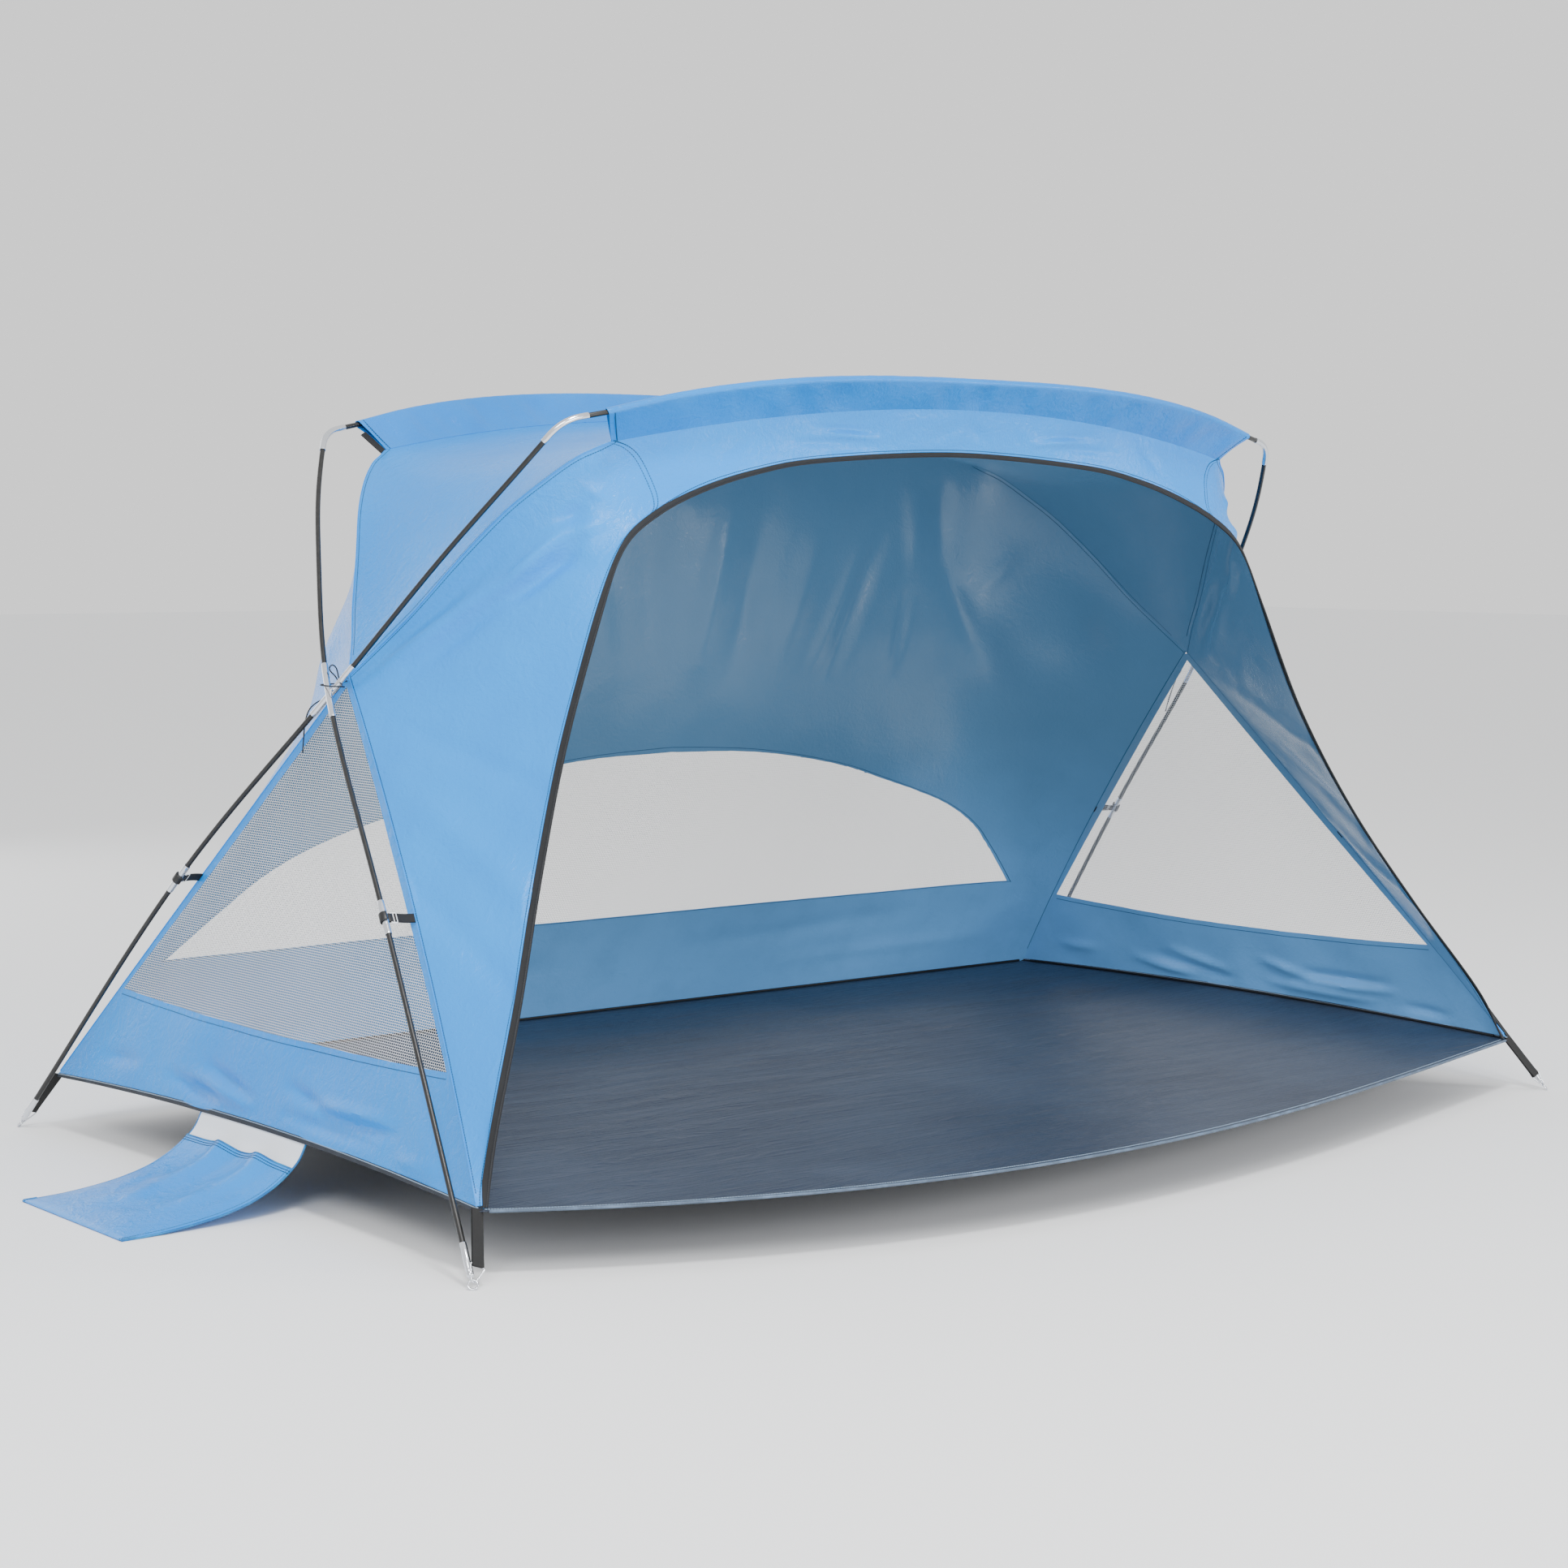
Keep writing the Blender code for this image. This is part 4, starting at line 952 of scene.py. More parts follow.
# Rear wall with its wings and its net window.
rearWall = {
    "wingColumns": 14,
    "wallColumns": 44,
    "relax": 60,
    "border": 0.025,
    "foldFade": 0.1,
    "footFade": 0.05,
    "rise": 0.190,
    "height": 0.311,
    "widths": (1.0, 0.908, 0.836, 0.735, 0.585, 0.420, 0.210, 0.0),
    "heights": (0.0, 0.264, 0.440, 0.592, 0.736, 0.875, 0.975, 1.0),
    "ripple": (0.24, 0.007),
    "finerRipple": (0.07, 0.0016),
    "hangingFolds": (0.19, 0.005),
    "hangFrom": 0.62,
    "hangReach": 0.35,
    # each fold from (x, z) to (x, z), its width and its height
    "folds": (
        ((0.175, 1.040), (0.110, 0.740), 0.040, 0.0100),
        ((0.080, 1.020), (0.030, 0.760), 0.026, -0.0090),
        ((0.300, 1.000), (0.225, 0.760), 0.030, -0.0080),
        ((0.455, 0.990), (0.345, 0.730), 0.020, 0.0100),
        ((0.400, 0.960), (0.300, 0.740), 0.014, -0.0050),
        ((0.525, 0.880), (0.505, 0.730), 0.016, 0.0060),
        ((0.585, 1.110), (0.600, 0.930), 0.022, 0.0100),
        ((0.600, 0.930), (0.755, 0.700), 0.024, 0.0095),
        ((0.520, 1.080), (0.540, 0.900), 0.024, -0.0090),
        ((0.655, 0.900), (0.710, 0.760), 0.016, -0.0050),
        ((0.730, 0.960), (0.700, 0.880), 0.014, 0.0050),
        ((-0.100, 1.040), (-0.060, 0.740), 0.045, 0.0070),
        ((-0.250, 1.030), (-0.170, 0.740), 0.035, -0.0080),
        ((-0.480, 0.980), (-0.340, 0.700), 0.040, 0.0070),
        ((-0.660, 0.940), (-0.500, 0.660), 0.030, -0.0060),
        ((0.150, 0.200), (0.720, 0.230), 0.018, 0.0040),
        ((0.400, 0.150), (0.950, 0.160), 0.014, -0.0035),
        ((-0.600, 0.210), (-0.100, 0.180), 0.018, 0.0040),
    ),
    # the wings swell beside the apexes: place, reach and way out
    "swell": ((0.81, 0.205, 0.79), 0.085, (0.020, 0.016, 0)),
}


def rearFold(edge):
    low = (edge.z - canopy["floorHeight"]) / canopy["apexHeight"] * 4
    high = (canopy["doorHeight"] - edge.z) / rearWall["foldFade"]
    draw = canopy["foldTuck"] * max(0, min(1, low, high))
    return Vector((edge.x - draw, edge.y - draw, edge.z))


def rearGrid():
    wings, wall = rearWall["wingColumns"], rearWall["wallColumns"]
    rows = []
    for outer, edge in panelPairs(0.999):
        fold = rearFold(edge)
        row = [outer.lerp(fold, k / wings) for k in range(wings)]
        row += [Vector((fold.x * (1 - k / wall), fold.y, fold.z)) for k in range(wall + 1)]
        rows.append(row)
    half = toGrid(rows)
    mirror = half[:, -2::-1].copy()
    mirror[..., 0] *= -1
    return np.concatenate([half, mirror], axis=1)


def rearSheets():
    grid = finer(relax(rearGrid(), rearWall["relax"]))
    lift = ripples(grid, *rearWall["ripple"], 11, (1, 1, 0.55))
    lift += ripples(grid, *rearWall["finerRipple"], 12)
    high = np.clip((grid[..., 2] - rearWall["hangFrom"]) / rearWall["hangReach"], 0, 1)
    lift += ripples(grid, *rearWall["hangingFolds"], 13, (1, 1, 0.16)) * high
    lift += creases(grid, rearWall["folds"], (0, 2))
    lift *= seamPin(lift.shape, 0.06, 0.09)
    low = np.clip((grid[..., 2] - canopy["floorHeight"]) / rearWall["footFade"], 0, 1)
    centre, reach, out = rearWall["swell"]
    near = np.abs(grid * (1, 0, 0)) + grid * (0, 1, 1) - np.array(centre)
    swell = np.exp(-np.sum(near**2, axis=2) / reach**2) * seamPin(lift.shape, 0.02, 0.05)
    way = np.sign(grid[..., :1]) * (out[0], 0, 0) + np.array([0, out[1], out[2]])
    return grid + gridNormals(grid) * (lift * low)[..., None] + way * swell[..., None]


def rearOutline():
    low = canopy["floorHeight"] + rearWall["rise"]
    half = rearFold(doorEdge(low)).x - rearWall["border"]
    shares = zip(rearWall["widths"], rearWall["heights"])
    smooth = curveThrough([(half * w, low + rearWall["height"] * h) for w, h in shares], 4)
    return [(p.x, p.y) for p in smooth] + [(-p.x, p.y) for p in smooth[-2::-1]]


rearOutlinePoints = rearOutline()
rearSheet = rearSheets()
build = openMesh(rearSheet, outOfTent)
netBuild = splitNet(build, rearOutlinePoints, (0, 2), lambda spot: spot.y > middleY)
rearPiece = finished("rearPanel", build, ("blue", "inside"), cloth["thickness"], rim=1)
ride(rearPiece, "rear_panel")
rearNetPiece = finished("rearWindowNet", netBuild, ("rearNet",), cloth["netThickness"])
ride(rearNetPiece, "rear_window_net")
print("rear panel area", round(surfaceArea(rearPiece), 3), "net", round(surfaceArea(rearNetPiece), 3))

# Roof: a saddle between the two ridges, down to an apex at each side.
roof = {"columns": 26, "relax": 40, "ripple": (0.2, 0.005), "finerRipple": (0.06, 0.0012), "stop": 0.996}


def roofGrid():
    outer = [ridgeLine(k / weave["ridgeRows"]) for k in range(weave["ridgeRows"])]
    outer += [hipLine(roof["stop"] * k / weave["hipRows"]) for k in range(weave["hipRows"] + 1)]
    rows = []
    for p in outer:
        sag = canopy["roofSag"] * min(1, p.y / (canopy["ridgeDepth"] / 2))
        row = []
        for k in range(roof["columns"] + 1):
            v = 2 * k / roof["columns"] - 1
            row.append(Vector((p.x, v * p.y, p.z - sag * (1 - v * v))))
        rows.append(row)
    grid = finer(relax(mirrored(toGrid(rows)), roof["relax"]))
    lift = ripples(grid, *roof["ripple"], 21) + ripples(grid, *roof["finerRipple"], 22)
    lift *= seamPin(lift.shape, 0.08, 0.2)
    return grid + gridNormals(grid) * lift[..., None]


roofSheet = roofGrid()
build = openMesh(roofSheet, away((0, 0, 0)))
roofPiece = finished("roofPanel", build, ("blue", "inside"), cloth["thickness"])
ride(roofPiece, "roof_panel")
print("roof area", round(surfaceArea(roofPiece), 3))

# Side walls: three-cornered, with a net window and a skirt below it.
sideWall = {
    "rows": 126,
    "columns": 90,
    "border": 0.010,
    "rise": 0.159,
    "dip": 0.012,
    "drop": 0.016,
    "ripple": (0.12, 0.006),
    "top": 0.006,
    # the waves fade out over this height, down to a share of their size on the net
    "skirtTop": 0.27,
    "skirtFade": 0.06,
    "netShare": 0.15,
    # each fold from (y, z) to (y, z), its width and its height
    "folds": (
        ((0.490, 0.142), (0.380, 0.146), 0.010, -0.0064),
        ((0.275, 0.140), (0.120, 0.122), 0.010, -0.0104),
        ((0.165, 0.170), (0.030, 0.138), 0.009, -0.0088),
        ((0.200, 0.150), (0.020, 0.126), 0.010, 0.0080),
        ((-0.070, 0.172), (-0.200, 0.150), 0.009, -0.0088),
        ((-0.150, 0.158), (-0.370, 0.160), 0.009, 0.0080),
        ((-0.180, 0.146), (-0.380, 0.148), 0.009, -0.0088),
        ((-0.080, 0.130), (-0.330, 0.126), 0.010, -0.0080),
        ((-0.400, 0.120), (-0.500, 0.116), 0.009, 0.0064),
    ),
}


def sideGrid(sign):
    rows = []
    for k in range(sideWall["rows"] + 1):
        t = sideWall["top"] + (1 - sideWall["top"]) * k / sideWall["rows"]
        edge = seamLine(t)
        row = []
        for j in range(sideWall["columns"] + 1):
            v = 2 * j / sideWall["columns"] - 1
            slack = 1 - v * v
            x = edge.x - canopy["hemPull"] * slack * t
            row.append(Vector((sign * x, v * edge.y, edge.z + canopy["hemLift"] * slack * t * t)))
        rows.append(row)
    grid = toGrid(rows)
    onSkirt = (sideWall["skirtTop"] - grid[..., 2]) / sideWall["skirtFade"]
    lift = ripples(grid, *sideWall["ripple"], 31) * np.clip(onSkirt, sideWall["netShare"], 1)
    lift += creases(grid, sideWall["folds"], (1, 2))
    lift *= seamPin(lift.shape, 0.04, 0.06)
    normals = gridNormals(grid)
    return grid + normals * np.sign(normals[..., :1] * sign) * lift[..., None]


def sideOutline():
    low = canopy["floorHeight"] + sideWall["rise"]
    half = seamLine((apex.z - low) / (apex.z - corner.z)).y - sideWall["border"]
    shares = [k / 6 - 1 for k in range(13)]
    sill = [(half * s + middleY, low - sideWall["dip"] * (1 - s * s)) for s in shares]
    return sill + [(middleY, apex.z - sideWall["drop"])]


sideSheets, sidePieces = {}, {}
for side, sign in sides:
    sideSheets[side] = sideGrid(sign)
    build = openMesh(sideSheets[side], outOfTent)
    netBuild = splitNet(build, sideOutline(), (1, 2))
    item = finished(f"sidePanel_{side}", build, ("blue", "inside"), cloth["thickness"], rim=1)
    sidePieces[side] = ride(item, f"side_panel_{side}")
    net = finished(f"sideWindowNet_{side}", netBuild, ("sideNet",), cloth["netThickness"])
    ride(net, f"side_window_net_{side}")
print("side panel area", round(surfaceArea(item), 3), "net", round(surfaceArea(net), 3))

# Floor, held up at its corners, with the rounded porch in front.
floorSheet = {"rows": 96, "columns": 130, "ripple": (0.11, 0.0035), "finerRipple": (0.035, 0.0011)}


def floorPoint(u, v):
    slack = 1 - v * v
    half = corner.x - canopy["hemPull"] * slack
    porch = canopy["porchReach"] * (1 - u * u) * (1 - canopy["porchLean"] * u) * max(0, -v)
    lift = canopy["hemLift"] * slack * max(0, abs(u) * 2 - 1) ** 3
    return Vector((u * half, v * corner.y - porch, corner.z + lift))


def floorGrid():
    across = [2 * j / floorSheet["columns"] - 1 for j in range(floorSheet["columns"] + 1)]
    along = [2 * i / floorSheet["rows"] - 1 for i in range(floorSheet["rows"] + 1)]
    grid = toGrid([[floorPoint(u, v) for u in across] for v in along])
    lift = ripples(grid, *floorSheet["ripple"], 41, (0.45, 1.3, 1))
    lift += ripples(grid, *floorSheet["finerRipple"], 42, (0.3, 1.4, 1))
    grid[..., 2] += lift * seamPin(lift.shape, 0.06, 0.05)
    return grid


build = openMesh(floorGrid(), lambda spot: Vector((0, 0, 1)))
floorPiece = finished("floorSheet", build, ("floor",), cloth["floorThickness"])
ride(floorPiece, "floor_sheet")
print("floor area", round(surfaceArea(floorPiece), 3))

# Poles. Each runs from a foot over the far ridge to the other foot, and they pass side by side
# at the apexes: the front ridge's pole (feet at the rear) on the inside.
pole = {
    "radius": 0.0040,
    "bore": 0.0026,
    "cord": 0.0024,
    "chamfer": 0.0004,
    "ferruleRadius": 0.0050,
    "ferruleBore": 0.0043,
    "gap": 0.0005,
    "clipHalf": 0.029,
    "crossHalf": 0.054,
    "elbowArm": 0.040,
    "elbowRound": 0.030,
    "fit": 0.0003,
    "footOut": (0.041, 0.051, 0.0064),
    "clipShare": 0.478,
    "clipOut": 0.046,
    "clipIn": 0.006,
    "crossOut": 0.033,
    "crossDrop": 0.022,
    "upperShare": 0.588,
    "upperOut": (0.0535, 0.0277, 0.0),
    "shoulderShare": 0.394,
    "shoulderOut": (0.079, 0.013, -0.016),
    "elbowOut": 0.070,
    "elbowIn": 0.014,
    "elbowDrop": 0.0135,
    "fullness": 2.8,
    "ridgeShares": (0, 0.17, 0.34, 0.51, 0.68, 0.84, 1),
    "sleeveEnd": (0.032, 0.034, 0.0410),
    "tipStart": 0.0110,
    "tipFloor": 0.0060,
    "easeStep": 0.012,
    "easePasses": 80,
}
sleeveEnd = ridgeEnd + Vector(pole["sleeveEnd"])


def footEye(signX, signY):
    x, y, z = pole["footOut"]
    return Vector((signX * (corner.x + x), signY * (corner.y + y), z))


def outOf(shift):
    return Vector((shift[0], -shift[1], shift[2]))


def legMarks(outwards):
    shift = outwards * (pole["ferruleRadius"] + pole["gap"] / 2)
    upper, shoulder = hipLine(pole["upperShare"]), hipLine(pole["shoulderShare"])
    elbow = sleeveEnd + Vector((pole["elbowOut"], 0, -pole["elbowDrop"]))
    return [
        footEye(1, 1),
        seamLine(pole["clipShare"]) + Vector((pole["clipOut"], -pole["clipIn"], 0)),
        apex + Vector((pole["crossOut"] + shift, 0, -pole["crossDrop"])),
        Vector((upper.x, -upper.y, upper.z)) + outOf(pole["upperOut"]),
        Vector((shoulder.x, -shoulder.y, shoulder.z)) + outOf(pole["shoulderOut"]),
        Vector((elbow.x, pole["elbowIn"] - elbow.y, elbow.z)),
    ]


def roundedCorner(before, after, size, steps):
    # joins two lines that meet at a corner by an arc-like curve
    meeting = before[-1]
    back, ahead = before[::-1], after
    a = alongLine(back, runs(back), size)
    b = alongLine(ahead, runs(ahead), size)
    keep = [p for p, s in zip(back, runs(back)) if s > size * 1.2][::-1]
    rest = [p for p, s in zip(ahead, runs(ahead)) if s > size * 1.2]
    bend = []
    for k in range(steps + 1):
        t = k / steps
        bend.append(a * (1 - t) ** 2 + meeting * 2 * t * (1 - t) + b * t**2)
    return keep + bend + rest


def eased(points, step, passes):
    # evens out the bends of a line whose ends stay
    count = int(runs(points)[-1] / step) + 1
    spots = np.array([tuple(p) for p in evenly(points, count)])
    for _ in range(passes):
        spots[1:-1] += ((spots[:-2] + spots[2:]) / 2 - spots[1:-1]) * 0.5
    return [Vector(p) for p in spots.tolist()]


def poleLine(signY, outwards):
    leg = curveThrough([(p.x, signY * p.y, p.z) for p in legMarks(outwards)], 24)
    leg = eased(leg, pole["easeStep"], pole["easePasses"])
    ridge = [leg[-1]]
    for u in pole["ridgeShares"][::-1]:
        flat = 1 - u ** pole["fullness"]
        y = -signY * (sleeveEnd.y + canopy["ridgeBow"] * flat)
        ridge.append(Vector((sleeveEnd.x * u, y, sleeveEnd.z + canopy["ridgeRise"] * flat)))
    mirrorRidge = ridge + [Vector((-p.x, p.y, p.z)) for p in ridge[-2:-4:-1]]
    smooth = curveThrough(mirrorRidge[1:], 6)
    smooth = [ridge[0]] + [p for p in smooth if p.x > -1e-6]
    half = roundedCorner(leg, smooth, pole["elbowRound"], 10)
    return [Vector((-p.x, p.y, p.z)) for p in half] + half[-2::-1]


def lengthNear(points, total, target):
    best, found = 1e9, 0
    for k in range(len(points) - 1):
        way = points[k + 1] - points[k]
        share = min(max((target - points[k]).dot(way) / max(way.length_squared, 1e-12), 0), 1)
        gap = (points[k] + way * share - target).length
        if gap < best:
            best, found = gap, total[k] + share * way.length
    return found


def pipe(name, points, radius, bore, count, finish):
    # a round pipe with eased ends, its outer skin first and its bore back again
    total = runs(points)
    end = total[-1]
    chamfer = pole["chamfer"]
    marks = [0, chamfer * 0.4, chamfer]
    marks += [s for s in total if chamfer * 2 < s < end - chamfer * 2]
    marks += [end - chamfer, end - chamfer * 0.4, end]
    pts = [alongLine(points, total, s) for s in marks]
    size = len(pts)
    build = bmesh.new()
    build.loops.layers.uv.new("cloth")
    side = (pts[1] - pts[0]).orthogonal().normalized()
    skin, lining = [], []
    for k, s in enumerate(marks):
        way = (pts[min(k + 1, size - 1)] - pts[max(k - 1, 0)]).normalized()
        side = (side - way * side.dot(way)).normalized()
        near = min(1, min(s, end - s) / chamfer)
        outer = radius - chamfer * 0.6 * (1 - near) ** 2
        skin.append(ringAround(build, pts[k], side, way.cross(side), outer, count))
        lining.append(ringAround(build, pts[k], side, way.cross(side), bore, count))
    rings = skin + lining[::-1]
    places = marks + marks[::-1]
    for k in range(len(rings)):
        m = (k + 1) % len(rings)
        band(build, rings[k], rings[m], 2 * math.pi * radius, places[k], places[m])
    bmesh.ops.recalc_face_normals(build, faces=build.faces)
    return smoothed(meshed(name, build, finish), "round")


def makePole(label, node, signY, outwards):
    points = poleLine(signY, outwards)
    total = runs(points)
    end = total[-1]
    fit = pole["fit"]
    _, clip, cross, _, _, elbow = legMarks(outwards)
    marks = {}

    def piece(cadName, low, high, steel=False, end=""):
        words = "".join(word.title() for word in cadName.split("_"))
        line = stretchOf(points, total, min(low, high), max(low, high))
        sizes = (pole["radius"], pole["bore"], 20, "fibre")
        if steel:
            sizes = (pole["ferruleRadius"], pole["ferruleBore"], 28, "steel")
        ride(pipe(label + words + end, line, *sizes), f"{node}_{cadName}{end}")

    for side, sign in sides:
        spots = [Vector((sign * p.x, signY * p.y, p.z)) for p in (clip, cross, elbow)]
        marks[side] = [lengthNear(points, total, p) for p in spots]
        clipAt, crossAt, elbowAt = marks[side]
        way = 1 if sign < 0 else -1
        inFoot = pole["tipStart"] + pole["tipFloor"] + fit
        footAt = inFoot if sign < 0 else end - inFoot
        bendAt = elbowAt - way * (pole["elbowRound"] + fit)
        piece("lower_section", footAt, clipAt - way * fit, False, f"_{side}")
        piece("middle_section", clipAt + way * fit, crossAt - way * fit, False, f"_{side}")
        piece("upper_section", crossAt + way * fit, bendAt, False, f"_{side}")
        for name, at, half in (
            ("clip_ferrule", clipAt, pole["clipHalf"]),
            ("cross_ferrule", crossAt, pole["crossHalf"]),
            ("elbow", elbowAt, pole["elbowArm"]),
        ):
            piece(name, at - half, at + half, True, f"_{side}")
    bend = pole["elbowRound"] + fit
    piece("ridge_section", marks["left"][2] + bend, marks["right"][2] - bend)
    # the elastic cord inside, from one foot's cap to the other's
    spots = stretchOf(points, total, inFoot, end - inFoot)
    cord = (f"{label}ElasticCord", f"{node}_shock_cord", "elastic_cord")
    makeCord(*cord, spots, pole["cord"], "elastic", "object", "taut")
    return points, total, marks


frontPole = makePole("frontPole", "front_ridge_pole", 1, -1)
rearPole = makePole("rearPole", "rear_ridge_pole", -1, 1)
print("poles made,", round(frontPole[1][-1], 3), "m each")

# Feet: a turned steel cap with an eye, a bent-wire ring and a folded strap at each corner.
foot = {
    "tipLength": 0.050,
    "neck": 0.0030,
    "neckRadius": 0.0022,
    # up the turned cap: height over the shoulder and radius
    "turned": (
        (-0.0016, 0.0022),
        (-0.0006, 0.00253),
        (0, 0.0036),
        (0.0006, 0.004392),
        (0.0016, 0.0050),
        (0.0060, 0.0050),
        (0.0066, 0.004775),
        (0.0074, 0.004775),
        (0.0080, 0.0050),
    ),
    "rim": (0.0006, 0.93),
    "eyeRadius": 0.0066,
    "eyeWire": 0.0014,
    "pin": (0.0011, 0.0060, 0.0105),
    "ringWire": 0.00125,
    "ringLength": 0.028,
    "ringNose": 0.004,
    "ringHalf": 0.0105,
    "ringCorner": 0.003,
    "ringLean": math.radians(26),
    "strapWidth": 0.017,
    "strapCloth": 0.0011,
    # along the strap from its sewn end: share of the way and half the gap between its layers
    "strapRun": ((1, 0.0010), (0.85, 0.0011), (0.7, 0.0011), (0.55, 0.0011)),
    "strapMouth": (0.55, 0.0013),
    "strapSewn": 0.004,
}


def makeFoot(label, signX, signY, points, total):
    eye = footEye(signX, signY)
    reach = foot["tipLength"]
    other = alongLine(points, total, reach if signX < 0 else total[-1] - reach)
    up = (other - eye).normalized()
    hem = Vector((signX * corner.x, signY * corner.y, corner.z))
    toHem = (hem - eye).normalized()
    across = (toHem - up * toHem.dot(up)).normalized()
    wide = up.cross(across)
    lean = up * math.cos(foot["ringLean"]) + across * math.sin(foot["ringLean"])
    flat = Vector((1, 0, 0))
    flat = (flat - lean * flat.dot(lean)).normalized()

    low = foot["eyeRadius"] + foot["eyeWire"] * 0.4
    shoulder = foot["eyeRadius"] + foot["eyeWire"] + foot["neck"]
    top = shoulder + foot["tipLength"]
    rimHeight, rimShare = foot["rim"]
    radius = pole["ferruleRadius"]
    profile = [(low, foot["neckRadius"])] + [(shoulder + h, r) for h, r in foot["turned"]]
    profile += [(top - rimHeight, radius), (top, radius * rimShare)]
    heights, radii = zip(*profile)
    cap = tube(f"poleTip_{label}", [eye + up * h for h in heights], radii, 28, "steel")
    turns = [2 * math.pi * k / 40 for k in range(40)]
    loopPoints = [eye + (across * math.cos(a) + up * math.sin(a)) * foot["eyeRadius"] for a in turns]
    loop = tube(f"tipEye_{label}", loopPoints, foot["eyeWire"], 14, "steel", closed=True)
    pinRadius, pinHalf, pinHeight = foot["pin"]
    pinAt = eye + up * (shoulder + pinHeight)
    pin = tube(f"tipPin_{label}", [pinAt - wide * pinHalf, pinAt + wide * pinHalf], pinRadius, 14, "steel")
    ride(joined(f"poleTip_{label}", [cap, loop, pin]), f"pole_tip_{label}")

    noseAt = foot["eyeRadius"] - foot["eyeWire"] - foot["ringWire"] - pole["fit"]
    nose = foot["ringNose"]
    shape = []
    for k in range(7):
        turn = math.radians(-75 + 25 * k)
        shape.append((noseAt + nose - nose * math.cos(turn), nose * math.sin(turn)))
    bar, half, cut = foot["ringLength"], foot["ringHalf"], foot["ringCorner"]
    shape += [(bar - cut, half), (bar - cut * 0.3, half - cut * 0.3), (bar, half - cut * 0.9)]
    shape += [(bar, -half + cut * 0.9), (bar - cut * 0.3, -half + cut * 0.3), (bar - cut, -half)]
    ring = [eye + lean * a + flat * b for a, b in shape]
    ringLoop = curveThrough([ring[-1], *ring, ring[0], ring[1]], 4)[4:-8]
    ring = tube(f"footRing_{label}", ringLoop, foot["ringWire"], 12, "steel", closed=True)
    ride(ring, f"foot_ring_{label}")

    barAt = eye + lean * bar
    pull = (hem - barAt).normalized()
    flat = (flat - pull * flat.dot(pull)).normalized()
    side = pull.cross(flat)
    around = foot["ringWire"] + pole["fit"] + foot["strapCloth"] / 2
    reachOut = (hem - barAt).length + foot["strapSewn"]
    mouthShare, mouthGap = foot["strapMouth"]
    layers = []
    for turn in (1, -1):
        layer = [barAt + pull * reachOut * s + side * gap * turn for s, gap in foot["strapRun"]]
        layer.append(barAt + pull * foot["strapWidth"] * mouthShare + side * mouthGap * turn)
        layers.append(layer)
    bend = [math.radians(90 + 15 * k) for k in range(13)]
    fold = [barAt + (pull * math.cos(a) + side * math.sin(a)) * around for a in bend]
    line = layers[0] + fold + layers[1][::-1]
    sizes = (foot["strapWidth"], foot["strapCloth"])
    strap = ribbon(f"cornerStrap_{label}", line, [flat] * len(line), *sizes, "webbing", 7)
    ride(strap, f"corner_strap_{label}")


def nearestSeam(spot, signX, signY):
    seam = [seamLine(k / 200) for k in range(201)]
    seam = [Vector((signX * p.x, signY * p.y, p.z)) for p in seam]
    return min(seam, key=lambda p: (p - spot).length)


# Clips: a hook round the ferrule, a small white loop and a webbing tab sewn in the side seam.
clipSizes = {
    "width": 0.014,
    "wall": 0.0026,
    "mouth": math.radians(70),
    "hookReach": 0.012,
    "hookHalf": 0.0021,
    "tabWidth": 0.0145,
    "loopHalf": 0.0086,
    "loopReach": 0.0080,
    "loopWire": 0.0011,
    "loopInset": 0.0024,
    "loopRound": 0.0018,
    "tabInset": 0.0026,
    "tabCloth": 0.0022,
    "tabBulge": 0.0012,
    "tabSewn": 0.002,
    "ease": 0.0006,
    "arcSteps": 24,
}


